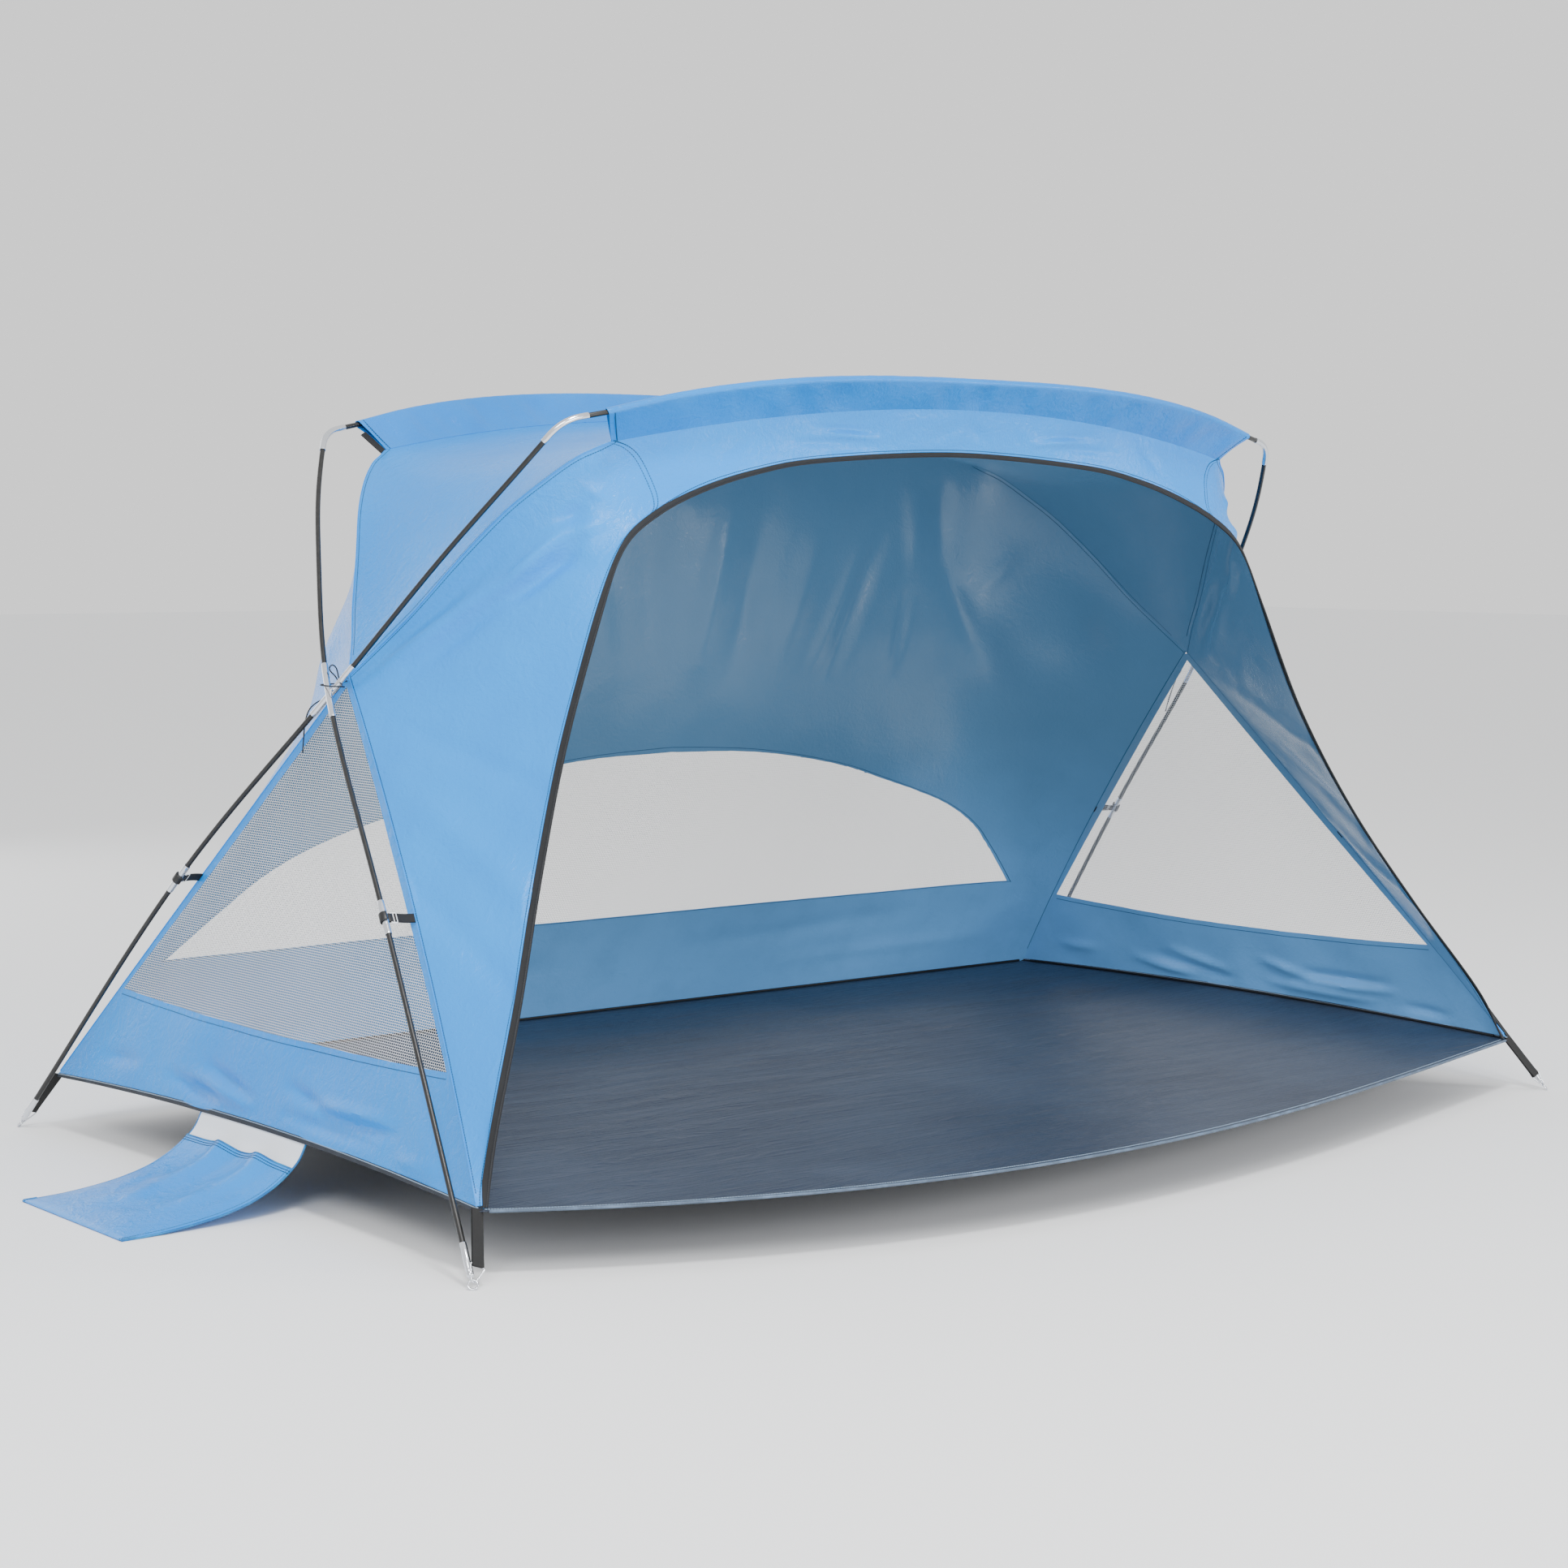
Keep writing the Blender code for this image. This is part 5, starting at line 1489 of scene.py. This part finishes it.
def makeClip(label, signX, signY, points, total, clipAt):
    spot = alongLine(points, total, clipAt)
    width = clipSizes["width"]
    along = alongLine(points, total, clipAt + width / 2) - alongLine(points, total, clipAt - width / 2)
    along.normalize()
    seam = nearestSeam(spot, signX, signY)
    toSeam = seam - spot
    toSeam -= along * toSeam.dot(along)
    reach = toSeam.length
    out = toSeam.normalized()
    other = along.cross(out)
    inner = pole["ferruleRadius"] + pole["fit"]
    outer = inner + clipSizes["wall"]
    half = clipSizes["hookHalf"]
    start = math.asin(half / outer)
    last = 2 * math.pi - clipSizes["mouth"] - 2 * start
    tipTurn = start + last
    lip = clipSizes["wall"] / 2
    root = math.asin(half / inner)
    spread = last + start - root
    shares = [k / clipSizes["arcSteps"] for k in range(clipSizes["arcSteps"] + 1)]
    outline = [(clipSizes["hookReach"], -half * 0.8), (clipSizes["hookReach"], half * 0.8)]
    outline += [(outer * math.cos(a), outer * math.sin(a)) for a in [start + last * s for s in shares]]
    for k in range(1, 6):
        turn = math.pi * k / 6
        centre, push = (inner + outer) / 2 + lip * math.cos(turn), lip * math.sin(turn)
        x = centre * math.cos(tipTurn) - push * math.sin(tipTurn)
        outline.append((x, centre * math.sin(tipTurn) + push * math.cos(tipTurn)))
    outline += [(inner * math.cos(a), inner * math.sin(a)) for a in [tipTurn - spread * s for s in shares]]
    outline += [(inner * math.cos(root), -half)]
    build = bmesh.new()
    layers = []
    for shift in (-0.5, 0.5):
        ring = [spot + out * a + other * b + along * (width * shift) for a, b in outline]
        layers.append([build.verts.new((p.x, p.y + middleY, p.z)) for p in ring])
    size = len(outline)
    build.faces.new(layers[0])
    build.faces.new(layers[1][::-1])
    for k in range(size):
        m = (k + 1) % size
        build.faces.new((layers[0][k], layers[0][m], layers[1][m], layers[1][k]))
    bmesh.ops.recalc_face_normals(build, faces=build.faces)
    hook = meshed(f"poleClip_{label}", build, "plastic")
    ease = hook.modifiers.new("ease", "BEVEL")
    ease.width = clipSizes["ease"]
    ease.segments = 3
    ease.limit_method = "ANGLE"
    hook = smoothed(toMesh(hook), "part")
    ride(hook, f"pole_clip_{label}")

    loopHalf, loopReach = clipSizes["loopHalf"], clipSizes["loopReach"]
    begin = clipSizes["hookReach"] - clipSizes["loopInset"]
    stop, bend = begin + loopReach, clipSizes["loopRound"]
    square = [(begin, -loopHalf), (stop, -loopHalf), (stop, loopHalf), (begin, loopHalf)]
    loopPoints = []
    for k in range(4):
        a, b, c = [Vector(square[(k + n) % 4]) for n in (-1, 0, 1)]
        for t in range(5):
            s = t / 4
            p = (b + (a - b).normalized() * bend) * (1 - s) ** 2 + b * 2 * s * (1 - s)
            p += (b + (c - b).normalized() * bend) * s**2
            loopPoints.append(spot + out * p.x + along * p.y)
    ride(tube(f"clipLoop_{label}", loopPoints, clipSizes["loopWire"], 10, "whitePlastic", closed=True))
    tabStart = stop - clipSizes["tabInset"]
    tabReach = reach + clipSizes["tabSewn"] - tabStart
    line = []
    for s in [k / 6 for k in range(7)]:
        bulge = clipSizes["tabBulge"] * math.sin(math.pi * s)
        line.append(spot + out * (tabStart + tabReach * s) + other * bulge)
    sizes = (clipSizes["tabWidth"], clipSizes["tabCloth"])
    ride(ribbon(f"clipTab_{label}", line, [along] * len(line), *sizes, "webbing", 7))


ends = (("rear", 1, frontPole), ("front", -1, rearPole))
for side, sign in sides:
    for end, signY, (points, total, _) in ends:
        makeFoot(f"{end}_{side}", sign, signY, points, total)
    for end, signY, (points, total, marks) in ends:
        makeClip(f"{end}_{side}", sign, signY, points, total, marks[side][0])
print("feet and clips made")

# Sleeves: a strip of cloth folded over each ridge's pole, with the tunnel at its top.
sleeve = {
    "stations": 150,
    "radius": 0.0060,
    "layerGap": 0.0007,
    "taper": 1.3,
    "cloth": 0.0007,
    "wave": 0.0060,
    "fineWave": 0.00196,
    "unevenness": 0.07,
    "strapWidth": 0.013,
    "strapOut": 0.0080,
    "strapHidden": (-0.012, 0.0045),
}


def sleeveCrown(points):
    top = [p for p in points if abs(p.x) < sleeveEnd.x + 0.004 and p.z > sleeveEnd.z - 0.004]
    top.sort(key=lambda p: p.x)
    across, depths, heights = zip(*top)
    return lambda x: Vector((x, np.interp(x, across, depths), np.interp(x, across, heights)))


sleeveLines = {}


def makeSleeve(name, node, signY, points, seed):
    crown = sleeveCrown(points)
    rows, lines = [], []
    for i in range(sleeve["stations"] + 1):
        u = 2 * i / sleeve["stations"] - 1
        base = ridgeLine(abs(u))
        base = Vector((math.copysign(base.x, u), signY * base.y, base.z))
        rise = crown(sleeveEnd.x * u) - base
        height = rise.length
        up = rise.normalized()
        along = (Vector((1, 0, 0)) - up * up.x).normalized()
        outward = up.cross(along)
        spot = Vector((u * 18, seed * 5.3, 0))
        wave = noise.noise(spot) * sleeve["wave"] + noise.noise(spot * 2.6) * sleeve["fineWave"]
        tight = 1 + sleeve["unevenness"] * noise.noise(spot * 3.1 + Vector((0, 9, 0)))
        r, g = sleeve["radius"] * tight, sleeve["layerGap"]
        wall = [(g + (r - g) * (k / 9) ** sleeve["taper"], height * k / 9) for k in range(9)]
        arc = [math.radians(-90 + 180 * k / 12) for k in range(13)]
        profile = [(-n, h) for n, h in wall]
        profile += [(r * math.sin(a), height + r * math.cos(a)) for a in arc]
        profile += wall[::-1]
        row = []
        for n, h in profile:
            share = math.sin(math.pi * min(max(h / height, 0), 1))
            row.append(base + outward * (n + wave * share) + up * h)
        rows.append(row)
        lines.append((base, up, outward, height))
    sleeveLines[name] = lines
    build = openMesh(toGrid(rows), away((0, signY * 0.32, 1.0)))
    return ride(finished(name, build, ("sleeve",), sleeve["cloth"]), node)


item = makeSleeve("frontSleeve", "front_sleeve", -1, frontPole[0], 1)
makeSleeve("rearSleeve", "rear_sleeve", 1, rearPole[0], 2)
print("sleeve area", round(surfaceArea(item), 3))

# Sand pockets: each hangs below a side hem on its hinge and doubles back over itself.
pocket = {
    "width": 0.312,
    "reach": 0.292,
    "cloth": 0.0010,
    "bulge": 0.008,
    "lip": 0.016,
    "mouthShare": 0.13,
    "outShares": (0, 0.05, 0.155, 0.29, 0.445, 0.61, 0.79, 1),
    "dropShares": (0, 0.26, 0.52, 0.72, 0.85, 0.93, 0.98, 1),
    "stations": (-1, -0.85, -0.7, -0.5, -0.3, -0.13, 0, 0.13, 0.25, 0.4, 0.6, 0.8, 1),
    "crests": (0, 0.15, 0.35, 1.0, 0.35, 0.05, 0.1, 0.6, 0.95, 0.4, 0.1, 0.05, 0),
    "columns": 72,
    "layerRise": 0.0021,
    "wave": 0.00455,
    "waveScale": (20, 26, 4),
    "tip": 0.0009,
    "below": 0.00162,
}
pocketHeight = corner.z + canopy["hemLift"] - pocket["below"]
pocketRoot = Vector((corner.x - canopy["hemPull"], 0, pocketHeight))


def pocketRows(sign):
    drop = pocketRoot.z - pocket["tip"]
    low = [
        Vector((pocketRoot.x + pocket["reach"] * a, 0, pocketRoot.z - drop * b))
        for a, b in zip(pocket["outShares"], pocket["dropShares"])
    ]
    grain = curveThrough(low, 6)
    total = runs(grain)
    end = total[-1]
    mouth = end * pocket["mouthShare"]
    crestCurve = curveThrough([(v, c, 0) for v, c in zip(pocket["stations"], pocket["crests"])], 8)
    rows = []
    for j in range(pocket["columns"] + 1):
        v = 2 * j / pocket["columns"] - 1
        y = v * pocket["width"] / 2
        crest = max(0, np.interp(v, [p.x for p in crestCurve], [p.y for p in crestCurve]))
        sideShare = 1 - v**4
        dip = canopy["hemLift"] * (2 * y / canopy["floorDepth"]) ** 2
        lower, upper = [], []
        for k, (p, s) in enumerate(zip(grain, total)):
            sink = dip * max(0, 1 - s / mouth)
            lower.append(Vector((p.x, y, p.z - sink)))
            if s >= mouth:
                near = (end - s) / (end - mouth)
                along = (grain[min(k + 1, len(grain) - 1)] - grain[max(k - 1, 0)]).normalized()
                above = Vector((-along.z, 0, along.x))
                swell = math.sin(math.pi * min(1, near * 1.1) ** 0.8)
                lift = pocket["layerRise"] + sideShare * pocket["bulge"] * swell
                lift += crest * pocket["lip"] * near**1.5
                spot = Vector(a * b for a, b in zip((p.x, y, 1), pocket["waveScale"]))
                wave = max(0, noise.noise(spot)) * pocket["wave"]
                lift += wave * sideShare * math.sin(math.pi * min(1, near))
                upper.append(Vector((p.x, y, p.z)) + above * lift)
        tipPoint = (lower[-1] + upper[-1]) / 2 + (grain[-1] - grain[-2]).normalized() * pocket["tip"]
        rows.append([Vector((sign * p.x, p.y, p.z)) for p in lower + [tipPoint] + upper[::-1]])
    return toGrid(rows)


pocketGrids = {}
for side, sign in sides:
    pocketGrids[side] = pocketRows(sign)
    build = openMesh(pocketGrids[side], None)
    build.faces.ensure_lookup_table()
    if build.faces[0].normal.z > 0:  # the lower layer's underside is an outside
        bmesh.ops.reverse_faces(build, faces=build.faces)
    item = finished(f"sandPocket_{side}", build, ("blue", "lining"), pocket["cloth"])
    ride(item, f"sand_pocket_{side}", f"{side}_pocket")
print("pocket area", round(surfaceArea(item), 3))


def vec(values):
    return Vector([float(v) for v in values])


def spotOn(line, reach, fromEnd=False):
    # a point a distance along one row of a grid, with the way across the row there
    points = [vec(p) for p in (line[::-1] if fromEnd else line)]
    return alongLine(points, runs(points), reach)


# Trim: the door's zip, the bindings of the hems, pipings and rolled seams.
trim = {
    "zipColumns": 7,
    "coilInset": 0.0026,
    "bindingWidth": 0.009,
    "bindingThickness": 0.0024,
    "pipingRadius": 0.0021,
    "rollRadius": 0.0008,
    "hemRadius": 0.0022,
    "hemPipingAt": (0.0040, 0.0030),
    "rearPipingAt": (0.0052, 0.0032),
    "shortOfCorner": 0.985,
    "strapReach": (-0.02, 0.74),
    "strapThickness": 0.0016,
    "pocketEdgeRadius": 0.0016,
    "porchSteps": 160,
}
zipRows = []
for outer, edge in panelPairs(0.995):
    into = (edge - outer).normalized()
    start = edge - into * tapeWidth(outer, edge)
    zipRows.append([start.lerp(edge, k / (trim["zipColumns"] - 1)) for k in range(trim["zipColumns"])])
zipGrid = flipped(mirrored(toGrid(zipRows)))
zipPiece = finished("doorZipTape", openMesh(zipGrid, outOfTent), ("zip",), cloth["zipThickness"])
ride(zipPiece, "door_zip_tape")
print("zip tape area", round(surfaceArea(zipPiece), 3))

for side, sign in sides:
    hem = sideSheets[side][-1]
    above = sideSheets[side][-5]
    wides = [vec(b) - vec(a) for a, b in zip(hem, above)]
    lift = trim["bindingWidth"] / 2 - cloth["seamOverlap"]
    centres = [vec(a) + w.normalized() * lift for a, w in zip(hem, wides)]
    sizes = (trim["bindingWidth"], trim["bindingThickness"])
    ride(ribbon(f"hemBinding_{side}", centres, wides, *sizes, "binding"))
    into, over = trim["hemPipingAt"]
    inner = [vec(a) + Vector((-sign * into, 0, over)) for a in hem[2:-2]]
    ride(tube(f"hemPiping_{side}", inner, trim["pipingRadius"], 10, "piping"))
into, over = trim["rearPipingAt"]
across = [corner.x * (k / 60 * 2 - 1) * trim["shortOfCorner"] for k in range(61)]
rearHem = [Vector((x, corner.y - into, corner.z + over)) for x in across]
ride(tube("rearPiping", rearHem, trim["pipingRadius"], 10, "piping"))
porchSpots = [2 * k / trim["porchSteps"] - 1 for k in range(1, trim["porchSteps"])]
porchEdge = [floorPoint(u, -1) for u in porchSpots]
ride(tube("porchHem", porchEdge, trim["hemRadius"], 12, "paleHem"))
for signY, end in ((-1, "front"), (1, "rear")):
    for side, sign in sides:
        hip = [hipLine(k / 60) for k in range(61)]
        seam = [seamLine(k / 60 * trim["shortOfCorner"]) for k in range(61)]
        out = trim["rollRadius"]
        line = [Vector((sign * (p.x + out), signY * (p.y + out), p.z)) for p in hip + seam[1:]]
        ride(tube(f"rolledSeam_{end}_{side}", line, trim["rollRadius"], 10, "blue"))
for name in ("front", "rear"):
    for side, sign in sides:
        base, up, outward, height = sleeveLines[f"{name}Sleeve"][-1 if sign > 0 else 0]
        wide = (Vector((sign, 0, 0)) - up * up.x * sign).normalized()
        if name == "rear":
            mid = base + wide * sleeve["strapOut"]
        else:  # inside the front sleeve's end, on the side that faces the rear
            inward = outward if outward.y > 0 else -outward
            mid = base + wide * sleeve["strapHidden"][0] + inward * sleeve["strapHidden"][1]
        low, reach = trim["strapReach"]
        centres = [mid + up * height * (reach * k / 8 + low) for k in range(9)]
        sizes = (sleeve["strapWidth"], trim["strapThickness"])
        ride(ribbon(f"sleeveStrap_{name}_{side}", centres, [wide] * 9, *sizes, "webbing"))
for side, sign in sides:
    grid = pocketGrids[side]
    lower = len(grid[0]) // 2
    edges = {f"pocketEdge_{side}_{n}": grid[-n][:lower + 8] for n in (0, 1)}
    edges[f"pocketMouth_{side}"] = grid[:, -1]
    for name, line in edges.items():
        item = tube(name, [vec(p) for p in line], trim["pocketEdgeRadius"], 8, "edge")
        ride(item, body=f"{side}_pocket")
print("trim made")


# Geometry Nodes: short rounds set along a path, for stitches and for the zip's coil.
pathNodes = {
    "start": "NodeGroupInput",
    "end": "NodeGroupOutput",
    "marks": "GeometryNodeCurveToPoints",
    "turn": "FunctionNodeAlignRotationToVector",
    "shape": "GeometryNodeMeshCylinder",
    "spread": "GeometryNodeInstanceOnPoints",
    "real": "GeometryNodeRealizeInstances",
    "paint": "GeometryNodeSetMaterial",
}
pathLinks = (
    ("start", "Geometry", "marks", "Curve"),
    ("start", "Pitch", "marks", "Length"),
    ("marks", "Tangent", "turn", "Vector"),
    ("start", "Sides", "shape", "Vertices"),
    ("start", "Radius", "shape", "Radius"),
    ("start", "Length", "shape", "Depth"),
    ("marks", "Points", "spread", "Points"),
    ("shape", "Mesh", "spread", "Instance"),
    ("turn", "Rotation", "spread", "Rotation"),
    ("spread", "Instances", "real", "Geometry"),
    ("real", "Geometry", "paint", "Geometry"),
    ("start", "Finish", "paint", "Material"),
    ("paint", "Geometry", "end", "Geometry"),
)


def pathTree(name):
    tree = bpy.data.node_groups.new(name, "GeometryNodeTree")
    sockets = tree.interface
    sockets.new_socket("Geometry", in_out="INPUT", socket_type="NodeSocketGeometry")
    for label in ("Pitch", "Radius", "Length"):
        sockets.new_socket(label, in_out="INPUT", socket_type="NodeSocketFloat")
    sockets.new_socket("Sides", in_out="INPUT", socket_type="NodeSocketInt")
    sockets.new_socket("Finish", in_out="INPUT", socket_type="NodeSocketMaterial")
    sockets.new_socket("Geometry", in_out="OUTPUT", socket_type="NodeSocketGeometry")
    made = {key: tree.nodes.new(kind) for key, kind in pathNodes.items()}
    made["marks"].mode = "LENGTH"
    made["turn"].axis = "Z"
    for one, output, other, socket in pathLinks:
        tree.links.new(made[one].outputs[output], made[other].inputs[socket])
    return tree


trees = {"stitchRow": pathTree("stitchRow"), "zipCoil": pathTree("zipCoil")}


def setAlong(name, tree, paths, finish, values, body="tent"):
    item = polyCurve(name, paths)
    made = item.modifiers.new("rows", "NODES")
    made.node_group = trees[tree]
    sockets = trees[tree].interface.items_tree
    names = {socket.name: socket.identifier for socket in sockets if socket.in_out == "INPUT"}
    for key, value in values.items():
        made[names[key]] = value
    made[names["Finish"]] = looks[finish]
    return ride(smoothed(toMesh(item), "part"), body=body)


stitch = {
    "values": {"Pitch": 0.0040, "Radius": 0.00085, "Length": 0.0031, "Sides": 6},
    "coil": {"Pitch": 0.0018, "Radius": 0.0019, "Length": 0.0011, "Sides": 8},
    "seamInset": 0.0022,
    "hipInset": 0.006,
    "doorInset": 0.005,
    "doubleGap": 0.008,
    "sillInset": 0.009,
    "tapeInsets": (0.0015, 0.0060),
    "pocketInsets": (0.005, 0.009),
    "bindingInset": 0.0032,
    "porchInset": 0.014,
    "windowSpots": 220,
    "sillSpots": 60,
    # how far a row stands off the cloth's middle
    "sleeveLift": 0.0003,
    "bindingLift": 0.0011,
    "porchLift": Vector((0, 0, 0.0005)),
    "pocketLift": Vector((0, 0, 0.0002)),
}
rows = []
frontRows, rearRows, roofRows = frontSheet[::2], rearSheet[::2], roofSheet[::2]
middle = len(frontRows) // 2
ridgeAt, hipAt = weave["ridgeRows"], weave["ridgeRows"] + weave["hipRows"]
for way in (-1, 1):
    hipRows = [middle + way * k for k in range(ridgeAt, hipAt + 1)]
    seamRows = [middle + way * k for k in range(hipAt, hipAt + weave["seamRows"])]
    rows.append([spotOn(frontRows[i], stitch["hipInset"]) for i in hipRows])
    rows.append([spotOn(frontRows[i], stitch["seamInset"]) for i in seamRows])
    seamSpot = frontRows[middle + way * ridgeAt]
    nextSpot = frontRows[middle + way * (ridgeAt + 1)]
    for shift in (-0.5, 0.5):
        path = []
        for a, b in zip(seamSpot, nextSpot):
            step = (vec(b) - vec(a)).normalized()
            path.append(vec(a) + step * stitch["doubleGap"] * shift)
        rows.append(path)
rows.append([spotOn(row, stitch["doorInset"], True) for row in frontSheet])
for inset in stitch["tapeInsets"]:
    rows.append([spotOn(row, inset) for row in zipGrid])

roofMiddle = len(roofRows) // 2
for way in (-1, 1):
    marks = [roofMiddle + way * k for k in range(ridgeAt, hipAt - 1)]
    for fromEnd in (False, True):
        rows.append([spotOn(roofRows[i], stitch["hipInset"], fromEnd) for i in marks])
for fromEnd in (False, True):
    hipPart, seamPart = rearRows[ridgeAt:hipAt + 1], rearRows[hipAt:hipAt + weave["seamRows"] - 1]
    rows.append([spotOn(row, stitch["hipInset"], fromEnd) for row in hipPart])
    rows.append([spotOn(row, stitch["seamInset"], fromEnd) for row in seamPart])


def hitOn(item, start, way):
    ok, spot, _, _ = item.ray_cast(Vector((start.x, start.y + middleY, start.z)), way)
    if not ok:
        return None
    spot = spot + way * cloth["thickness"] / 2
    return Vector((spot.x, spot.y - middleY, spot.z))


grown = []
outlineCentre = Vector((0, sum(p[1] for p in rearOutlinePoints) / len(rearOutlinePoints)))
closedOutline = rearOutlinePoints + rearOutlinePoints[:1]
for p in closedOutline:
    spot = Vector(p)
    push = (spot - outlineCentre).normalized() * stitch["sillInset"]
    grown.append(Vector((spot.x + push.x, 0, spot.y + push.y)))
grown = evenly(grown, stitch["windowSpots"])
border = [hitOn(rearPiece, p, Vector((0, 1, 0))) for p in grown]
rows.append([p for p in border if p])
for side, sign in sides:
    sill = sideOutline()[:-1]
    path = [Vector((0, y - middleY, z - stitch["sillInset"])) for y, z in sill]
    path = [hitOn(sidePieces[side], p, Vector((sign, 0, 0))) for p in evenly(path, stitch["sillSpots"])]
    rows.append([p for p in path if p])
for name in ("frontSleeve", "rearSleeve"):
    for k in (1, -2):
        base, up, outward, height = sleeveLines[name][k]
        for face in (-1, 1):
            path = []
            for n in range(12):
                share = 0.03 + 0.97 * n / 11
                widening = (sleeve["radius"] - sleeve["layerGap"]) * share ** sleeve["taper"]
                spread = sleeve["layerGap"] + widening + stitch["sleeveLift"]
                path.append(base + up * height * share + outward * face * spread)
            rows.append(path)
setAlong("canopyStitches", "stitchRow", rows, "thread", stitch["values"])
hemRows = []
for side, sign in sides:
    hem, above = sideSheets[side][-1], sideSheets[side][-5]
    for face in (-1, 1):
        path = []
        for a, b in zip(hem, above):
            up = (vec(b) - vec(a)).normalized()
            lift = up * (trim["bindingWidth"] - stitch["bindingInset"])
            path.append(vec(a) + lift + Vector((face * stitch["bindingLift"], 0, 0)))
        hemRows.append(path)
inner = [floorPoint(u, stitch["porchInset"] - 1) for u in porchSpots]
hemRows.append([p + stitch["porchLift"] for p in inner])
setAlong("hemStitches", "stitchRow", hemRows, "paleThread", stitch["values"])
coilLine = [spotOn(row, trim["coilInset"], True) for row in zipGrid]
setAlong("doorZipCoil", "zipCoil", [coilLine], "coil", stitch["coil"])
for side, sign in sides:
    grid = pocketGrids[side]
    paths = []
    for inset in stitch["pocketInsets"]:
        paths.append([spotOn(row, inset, True) + stitch["pocketLift"] for row in grid])
    columns = grid.transpose(1, 0, 2)
    lower = len(columns) // 2
    for n in (0, 1):
        paths.append([spotOn(line, stitch["pocketInsets"][0], bool(n)) for line in columns[lower + 2:]])
    setAlong(f"pocketStitches_{side}", "stitchRow", paths, "thread", stitch["values"], f"{side}_pocket")
print("stitches made")


def bothSides(*names):
    return [f"{name}_{side}" for name in names for side in ("left", "right")]


seams = {end: bothSides(f"rolledSeam_{end}") for end in ("front", "rear")}
sleeveEnds = {end: bothSides(f"sleeveStrap_{end}") for end in ("front", "rear")}
sleeveFlat = (0.142, 1.38)
cuts = {
    "frontPanel": ((0.403, 3.67), 0.562, "stretched", ["frontSleeve"], seams["front"]),
    "rearPanel": ((1.20, 2.24), 1.828, "stretched", ["rearSleeve"], ["rearPiping", *seams["rear"]]),
    "rearWindowNet": ((0.315, 1.905), 0.473, "stretched", ["rearPanel"], []),
    "roofPanel": ((0.737, 2.15), 1.189, "stretched", ["frontSleeve", "rearSleeve"], ["canopyStitches"]),
    "floorSheet": ((1.49, 2.20), 3.08, "laid", bothSides("sidePanel"), ["porchHem", "hemStitches"]),
    "frontSleeve": (sleeveFlat, 0.195, "hung", ["frontPoleRidgeSection"], sleeveEnds["front"]),
    "rearSleeve": (sleeveFlat, 0.195, "hung", ["rearPoleRidgeSection"], sleeveEnds["rear"]),
    "doorZipTape": ((0.012, 3.42), 0.041, "stretched", ["frontPanel"], ["doorZipCoil"]),
}
for side, _ in sides:
    tabs = [f"{part}_{end}_{side}" for part in ("clipTab", "clipLoop") for end in ("front", "rear")]
    trims = [f"hemBinding_{side}", f"hemPiping_{side}", *tabs]
    cuts[f"sidePanel_{side}"] = ((0.170, 1.25), 0.186, "stretched", ["frontPanel", "rearPanel"], trims)
    cuts[f"sideWindowNet_{side}"] = ((0.535, 0.955), 0.256, "stretched", [f"sidePanel_{side}"], [])
    trims = [f"pocketEdge_{side}_0", f"pocketEdge_{side}_1"]
    trims += [f"pocketMouth_{side}", f"pocketStitches_{side}"]
    cuts[f"sandPocket_{side}"] = ((0.312, 0.605), None, "hung", [f"sidePanel_{side}"], trims)
    for end in ("front", "rear"):
        ring = f"footRing_{end}_{side}"
        cuts[f"cornerStrap_{end}_{side}"] = ((0.017, 0.168), None, "stretched", [ring], [])
for name, (flat, area, held, rests, trims) in cuts.items():
    item = bpy.data.objects[name]
print("soft pieces declared:", len(cuts))


# Studio: a white floor, a bright room and large soft lamps.
studio = {
    "floor": (246, 247, 248),
    "world": 1.15,
    "lamps": (
        ("key", (-3.8, -3.0, 3.6), (0, 0, 0.6), 2.2, 105),
        ("front", (-1.0, -5.2, 1.3), (0.3, 0.3, 0.5), 2.2, 100),
        ("doorway", (3.6, -4.2, 1.5), (0, 0.4, 0.6), 1.3, 90),
        ("overhead", (-1.3, -1.9, 4.0), (-0.7, -0.35, 1.0), 0.8, 100),
        ("rear", (-1.0, 4.6, 1.4), (0, 0, 0.6), 3.0, 40),
    ),
}


def makeStudio():
    f = Finish("studioWhite")
    f.set(colour=rgb(*studio["floor"]), roughness=0.9, specular=0.1)
    data = bpy.data.meshes.new("studioFloor")
    build = bmesh.new()
    bmesh.ops.create_grid(build, x_segments=1, y_segments=1, size=30)
    build.to_mesh(data)
    build.free()
    data.materials.append(f.material)
    linked("studioFloor", data)
    world = bpy.data.worlds.new("studio")
    world.use_nodes = True
    back = world.node_tree.nodes["Background"]
    back.inputs["Color"].default_value = (1, 1, 1, 1)
    back.inputs["Strength"].default_value = studio["world"]
    bpy.context.scene.world = world
    for name, place, aim, size, power in studio["lamps"]:
        lamp = bpy.data.lights.new(name, "AREA")
        lamp.shape = "DISK"
        lamp.size = size
        lamp.energy = power
        item = linked(name, lamp)
        way = Vector(aim) - Vector(place)
        turn = way.to_track_quat("-Z", "Y").to_matrix().to_4x4()
        item.matrix_world = Matrix.Translation((place[0], place[1] + middleY, place[2])) @ turn


makeStudio()
print("studio ready")
